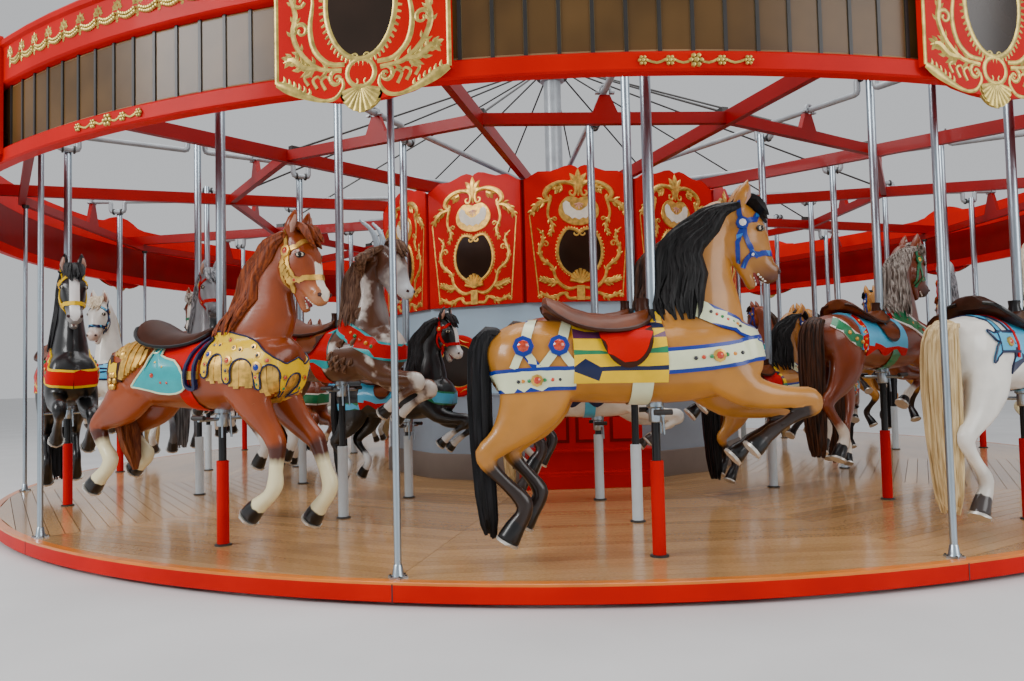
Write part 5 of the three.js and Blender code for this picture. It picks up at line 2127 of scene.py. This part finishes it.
def wall_mirrors():
    """Round mirrors in red and gilt rims under four of the panels."""
    wheel = Build()
    closed_relief(wheel, ellipse((0, 0), (0.235, 0.235), 40), 0.090, RED, 0.5, 8)
    closed_relief(wheel, ellipse((0, 0), (0.190, 0.190), 40), 0.014, GOLD, 0.9)
    slab(wheel, ellipse((0, 0), (0.186, 0.186), 40), 0.004, 0.0, MIRROR_DARK)
    ticks = 10
    for k in range(ticks):
        turn = 2 * math.pi * k / ticks
        ends = [(0.240 * math.cos(turn + s), 0.240 * math.sin(turn + s)) for s in (-0.22, 0.0, 0.22)]
        ends[1] = (ends[1][0] * 0.94, ends[1][1] * 0.94)
        relief(wheel, ends, [0.006, 0.014, 0.006], GOLD, 0.8, 5, 3, 0.020)
    holder = Build()
    place = Matrix.Translation((-0.20, -WALL_FACE - 0.004, 1.13))
    holder.copies(wheel, [around((bay + 0.5) * BAY) @ place for bay in (2, 5, 8, 11)])
    holder.make("wall_mirrors", TURN)


def cabinet():
    """Stepped cabinet against the drum, with panels and a gallery of gilt spindles."""
    build = Build()
    turn = around(BAY / 2)
    back = -(DRUM_R + 0.02) * math.cos(BAY / 2) - 0.002
    foot = DECK_TOP + 0.002
    for width, depth, low, high in ((1.140, 0.455, 0.0, 0.105), (1.120, 0.445, 0.105, 0.128),
                                    (1.040, 0.375, 0.128, 0.280), (1.055, 0.385, 0.280, 0.300),
                                    (0.880, 0.290, 0.300, 0.640),
                                    (0.900, 0.300, 0.640, 0.665)):
        box(build, (0, back - depth / 2, foot + (low + high) / 2), (width, depth, high - low), RED, turn)
    for k in range(3):
        box(build, (-0.285 + 0.285 * k, back - 0.291, foot + 0.470), (0.230, 0.010, 0.230), RED_DEEP, turn)
        box(build, (-0.285 + 0.285 * k, back - 0.296, foot + 0.470), (0.180, 0.006, 0.180), RED, turn)
    for k in range(17):
        u = -0.424 + 0.053 * k
        spun(build, (u, back - 0.270, foot + 0.665),
             [(0.008, 0.0), (0.013, 0.02), (0.006, 0.045), (0.010, 0.07), (0.006, 0.10), (0.009, 0.125)], 7,
             GOLD, turn)
    box(build, (0, back - 0.270, foot + 0.802), (0.890, 0.030, 0.024), RED, turn)
    for side in (-1, 1):
        box(build, (side * 0.430, back - 0.150, foot + 0.740), (0.028, 0.270, 0.150), RED, turn)
    build.make("cabinet_steps", TURN, replaces=["cabinet"])


# Frame: hangers, ring beam, bearings, cranks and mast

def foot_flange(rods, matrix):
    """Star-shaped flange with a collar and six bolts where a hanger rod stands on the deck."""
    collar = [(0.030, 0.010), (0.026, 0.022), (0.020, 0.060), (0.0175, 0.064)]
    spun(rods, (0, -HANGER_CIRCLE, DECK_TOP), collar, 14, CHROME, matrix)
    count = 12
    star = []
    for k in range(count):
        r = 0.049 if k % 2 == 0 else 0.030
        star.append((r * math.cos(2 * math.pi * k / count), r * math.sin(2 * math.pi * k / count)))
    points = []
    for z in (DECK_TOP + 0.001, DECK_TOP + 0.011):
        points += [(x, -HANGER_CIRCLE + y, z) for x, y in star]
    faces = [tuple(reversed(range(count))), tuple(range(count, 2 * count))]
    faces += [(k, (k + 1) % count, count + (k + 1) % count, count + k) for k in range(count)]
    rods.add(points, faces, CHROME, matrix)
    for x, y in star[::2]:
        bolt = (x * 0.8, -HANGER_CIRCLE + y * 0.8, DECK_TOP + 0.011)
        spun(rods, bolt, [(0.006, 0.0), (0.005, 0.005)], 6, DARK, matrix)


def hangers():
    """Chrome drop rods from the ring beam to the deck."""
    rods = Build()
    for matrix in at_sweeps():
        spun(rods, (0, -HANGER_CIRCLE, 0), [(HANGER_R, DECK_TOP + 0.012), (HANGER_R, RING_LOW)], 16, CHROME,
             matrix)
        foot_flange(rods, matrix)
        spun(rods, (0, -HANGER_CIRCLE, 2.640), [(0.022, 0.0), (0.030, 0.012), (0.030, 0.030)], 14, DARK,
             matrix)
    rods.make("hanger_rods", TURN, replaces=["hanger_ring"])


def ring_beam():
    """Red ring beam under the sweeps' ends, with a bracket for each outer bearing."""
    beams = Build()
    inside = RING_R - 0.030
    outside = RING_R + 0.028
    ring = [(inside, RING_LOW), (inside, RING_HIGH), (outside, RING_HIGH), (outside, RING_LOW)]
    turned_ring(beams, ring, BAYS, RED_FRAME)
    face = RING_R * math.cos(BAY / 2) - 0.010
    top = 2.966
    outline = [(-0.110, RING_HIGH), (0.110, RING_HIGH), (0.034, top), (-0.034, top)]
    points = [(u, -face - 0.018, v) for u, v in outline] + [(u, -face + 0.018, v) for u, v in outline]
    faces = [(0, 1, 2, 3), (7, 6, 5, 4), (0, 4, 5, 1), (1, 5, 6, 2), (2, 6, 7, 3), (3, 7, 4, 0)]
    for matrix in at_bays():
        beams.add(points, faces, RED_FRAME, matrix)
    beams.make("ring_beam", TURN)


def bearings():
    """Grey bearing caps and feet that carry the cranks."""
    build = Build()
    chord = math.cos(BAY / 2)
    for matrix in at_bays():
        for radius in (0.72, 3.39 * chord, RING_R * chord - 0.010):
            arc = []
            for k in range(13):
                turn = math.pi * k / 12
                arc.append((0.040 * math.cos(turn), -radius, CRANK_Z + 0.040 * math.sin(turn)))
            tube(build, [(0.040, -radius, BEARING_FOOT)] + arc + [(-0.040, -radius, BEARING_FOOT)], 0.011,
                 GREY, 8, matrix)
            for side in (-1, 1):
                box(build, (side * 0.052, -radius, 2.974), (0.030, 0.034, 0.012), GREY, matrix)
    build.make("crank_bearings", TURN)


def crank_mesh():
    """Bent pipe with three throws, drawn at angle 0 and reaching outwards."""
    build = Build()
    path = [(CRANK_START, 0.0)]
    bend = 0.022
    for row in ("inner", "middle", "outer"):
        radius, _, pin = ROWS[row]
        drop = pin * THROW
        corners = [(radius - HALF_PIN, 0.0, drop), (radius + HALF_PIN, drop, 0.0)]
        for r, before, after in corners:
            way = 1 if after > before else -1
            path += [(r - bend, before), (r - bend * 0.3, before + way * bend * 0.3),
                     (r, before + way * bend),
                     (r, after - way * bend), (r + bend * 0.3, after - way * bend * 0.3), (r + bend, after)]
        for side in (-1, 1):
            collar = [(0, -radius + side * 0.034, CRANK_Z + drop),
                      (0, -radius + side * 0.048, CRANK_Z + drop)]
            tube(build, collar, 0.032, DARK, 12)
    path.append((CRANK_END, 0.0))
    tube(build, [(0, -r, CRANK_Z + z) for r, z in path], PIPE_R * 0.96, GREY, 10, up=(1, 0, 0))
    return welded_mesh("crank", build)


def cranks():
    """One crankshaft in each bay."""
    mesh = crank_mesh()
    for bay in range(BAYS):
        node = f"crankshaft_{bay + 1:02d}"
        link_object(f"{node}_pipe", mesh, node, around((bay + 0.5) * BAY), [node])


def mast():
    """Grey mast tube with its thrust collar."""
    build = Build()
    spun(build, (0, 0, 0), [(0.095, 0.602), (0.095, 4.262), (0.134, 4.270), (0.134, 4.298), (0.095, 4.300),
                            (0.095, 4.560), (0.080, 4.585), (0.040, 4.598)], 36, GREY)
    build.make("mast_tube", "centre", replaces=["centre_pole"])


# Deck rim and the poles' floor sleeves

def sleeves():
    """Painted floor sleeves round the lower rods, with flanges on the deck."""
    build = Build()
    red_middle = (1, 2)
    for row, (radius, _, pin) in ROWS.items():
        for bay in range(BAYS):
            paint = RED if row == "outer" or (row == "middle" and bay in red_middle) else SLEEVE_WHITE
            turn = around((bay + 0.5) * BAY)
            foot = (pin * POLE_OFFSET, -radius, DECK_TOP)
            wall = SLEEVE_R - 0.001
            spun(build, foot, [(wall + 0.014, 0.001), (wall + 0.013, 0.008), (wall + 0.002, 0.012)], 20, DARK,
                 turn)
            tube_wall(build, foot, wall, TUBE_R + 0.004, 0.004, SLEEVE_H - 0.002, paint, turn)
    build.make("floor_sleeves", TURN)


def tube_wall(build, foot, outer, inner, low, high, material, matrix):
    """Open-topped pipe with a rounded lip."""
    steps = 20
    lip = 0.003
    profile = [(outer, low), (outer, high - lip), (outer - lip, high), (inner, high), (inner, low)]
    build.add(turned_points(foot, profile, steps), ring_faces(len(profile), steps), material, matrix)


def deck_rim():
    """Red rim board with the orange edge strip and joint lines."""
    build = Build()
    steps = 144
    turned_ring(build, [(DECK_R - 0.040, RIM_BOTTOM), (DECK_R - 0.003, RIM_BOTTOM),
                        (DECK_R, RIM_BOTTOM + 0.004),
                        (DECK_R, DECK_TOP - 0.012), (DECK_R - 0.040, DECK_TOP - 0.012)], steps, RED)
    turned_ring(build, [(DECK_R - 0.052, DECK_TOP - 0.012), (DECK_R, DECK_TOP - 0.012),
                        (DECK_R, DECK_TOP - 0.001),
                        (DECK_R - 0.004, DECK_TOP + 0.002), (DECK_R - 0.052, DECK_TOP + 0.002)], steps,
                ORANGE)
    turned_ring(build, [(DECK_HOLE_R, 0.072), (DECK_HOLE_R + 0.02, 0.072), (DECK_HOLE_R + 0.02, DECK_TOP),
                        (DECK_HOLE_R, DECK_TOP)],
                48, RED_DEEP)
    for matrix in at_sweeps():
        box(build, (0, -DECK_R + 0.003, 0.062), (0.006, 0.008, 0.080), DARK, matrix)
    build.make("deck_rim", TURN)


def first_looks():
    """Carried-over pieces keep their CAD shape and get their material."""
    looks = {"centre_base": DARK, "centre_pole": GREY, "sweep_frame": RED_FRAME, "mast_head": DARK,
             "hanger_ring": RED, "cornice": RED, "centre_drum": WALL, "cabinet": RED}
    for name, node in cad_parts.items():
        look = looks.get(name, GREY)
        node.data.materials.clear()
        node.data.materials.append(look)


place_camera()
place_stage()
deck_boards()
deck_rim()
sleeves()
hangers()
ring_beam()
bearings()
cranks()
mast()
cornice_rails()
cornice_mirrors()
cornice_shields()
drum_walls()
drum_panels()
wall_mirrors()
cabinet()
animals()
first_looks()
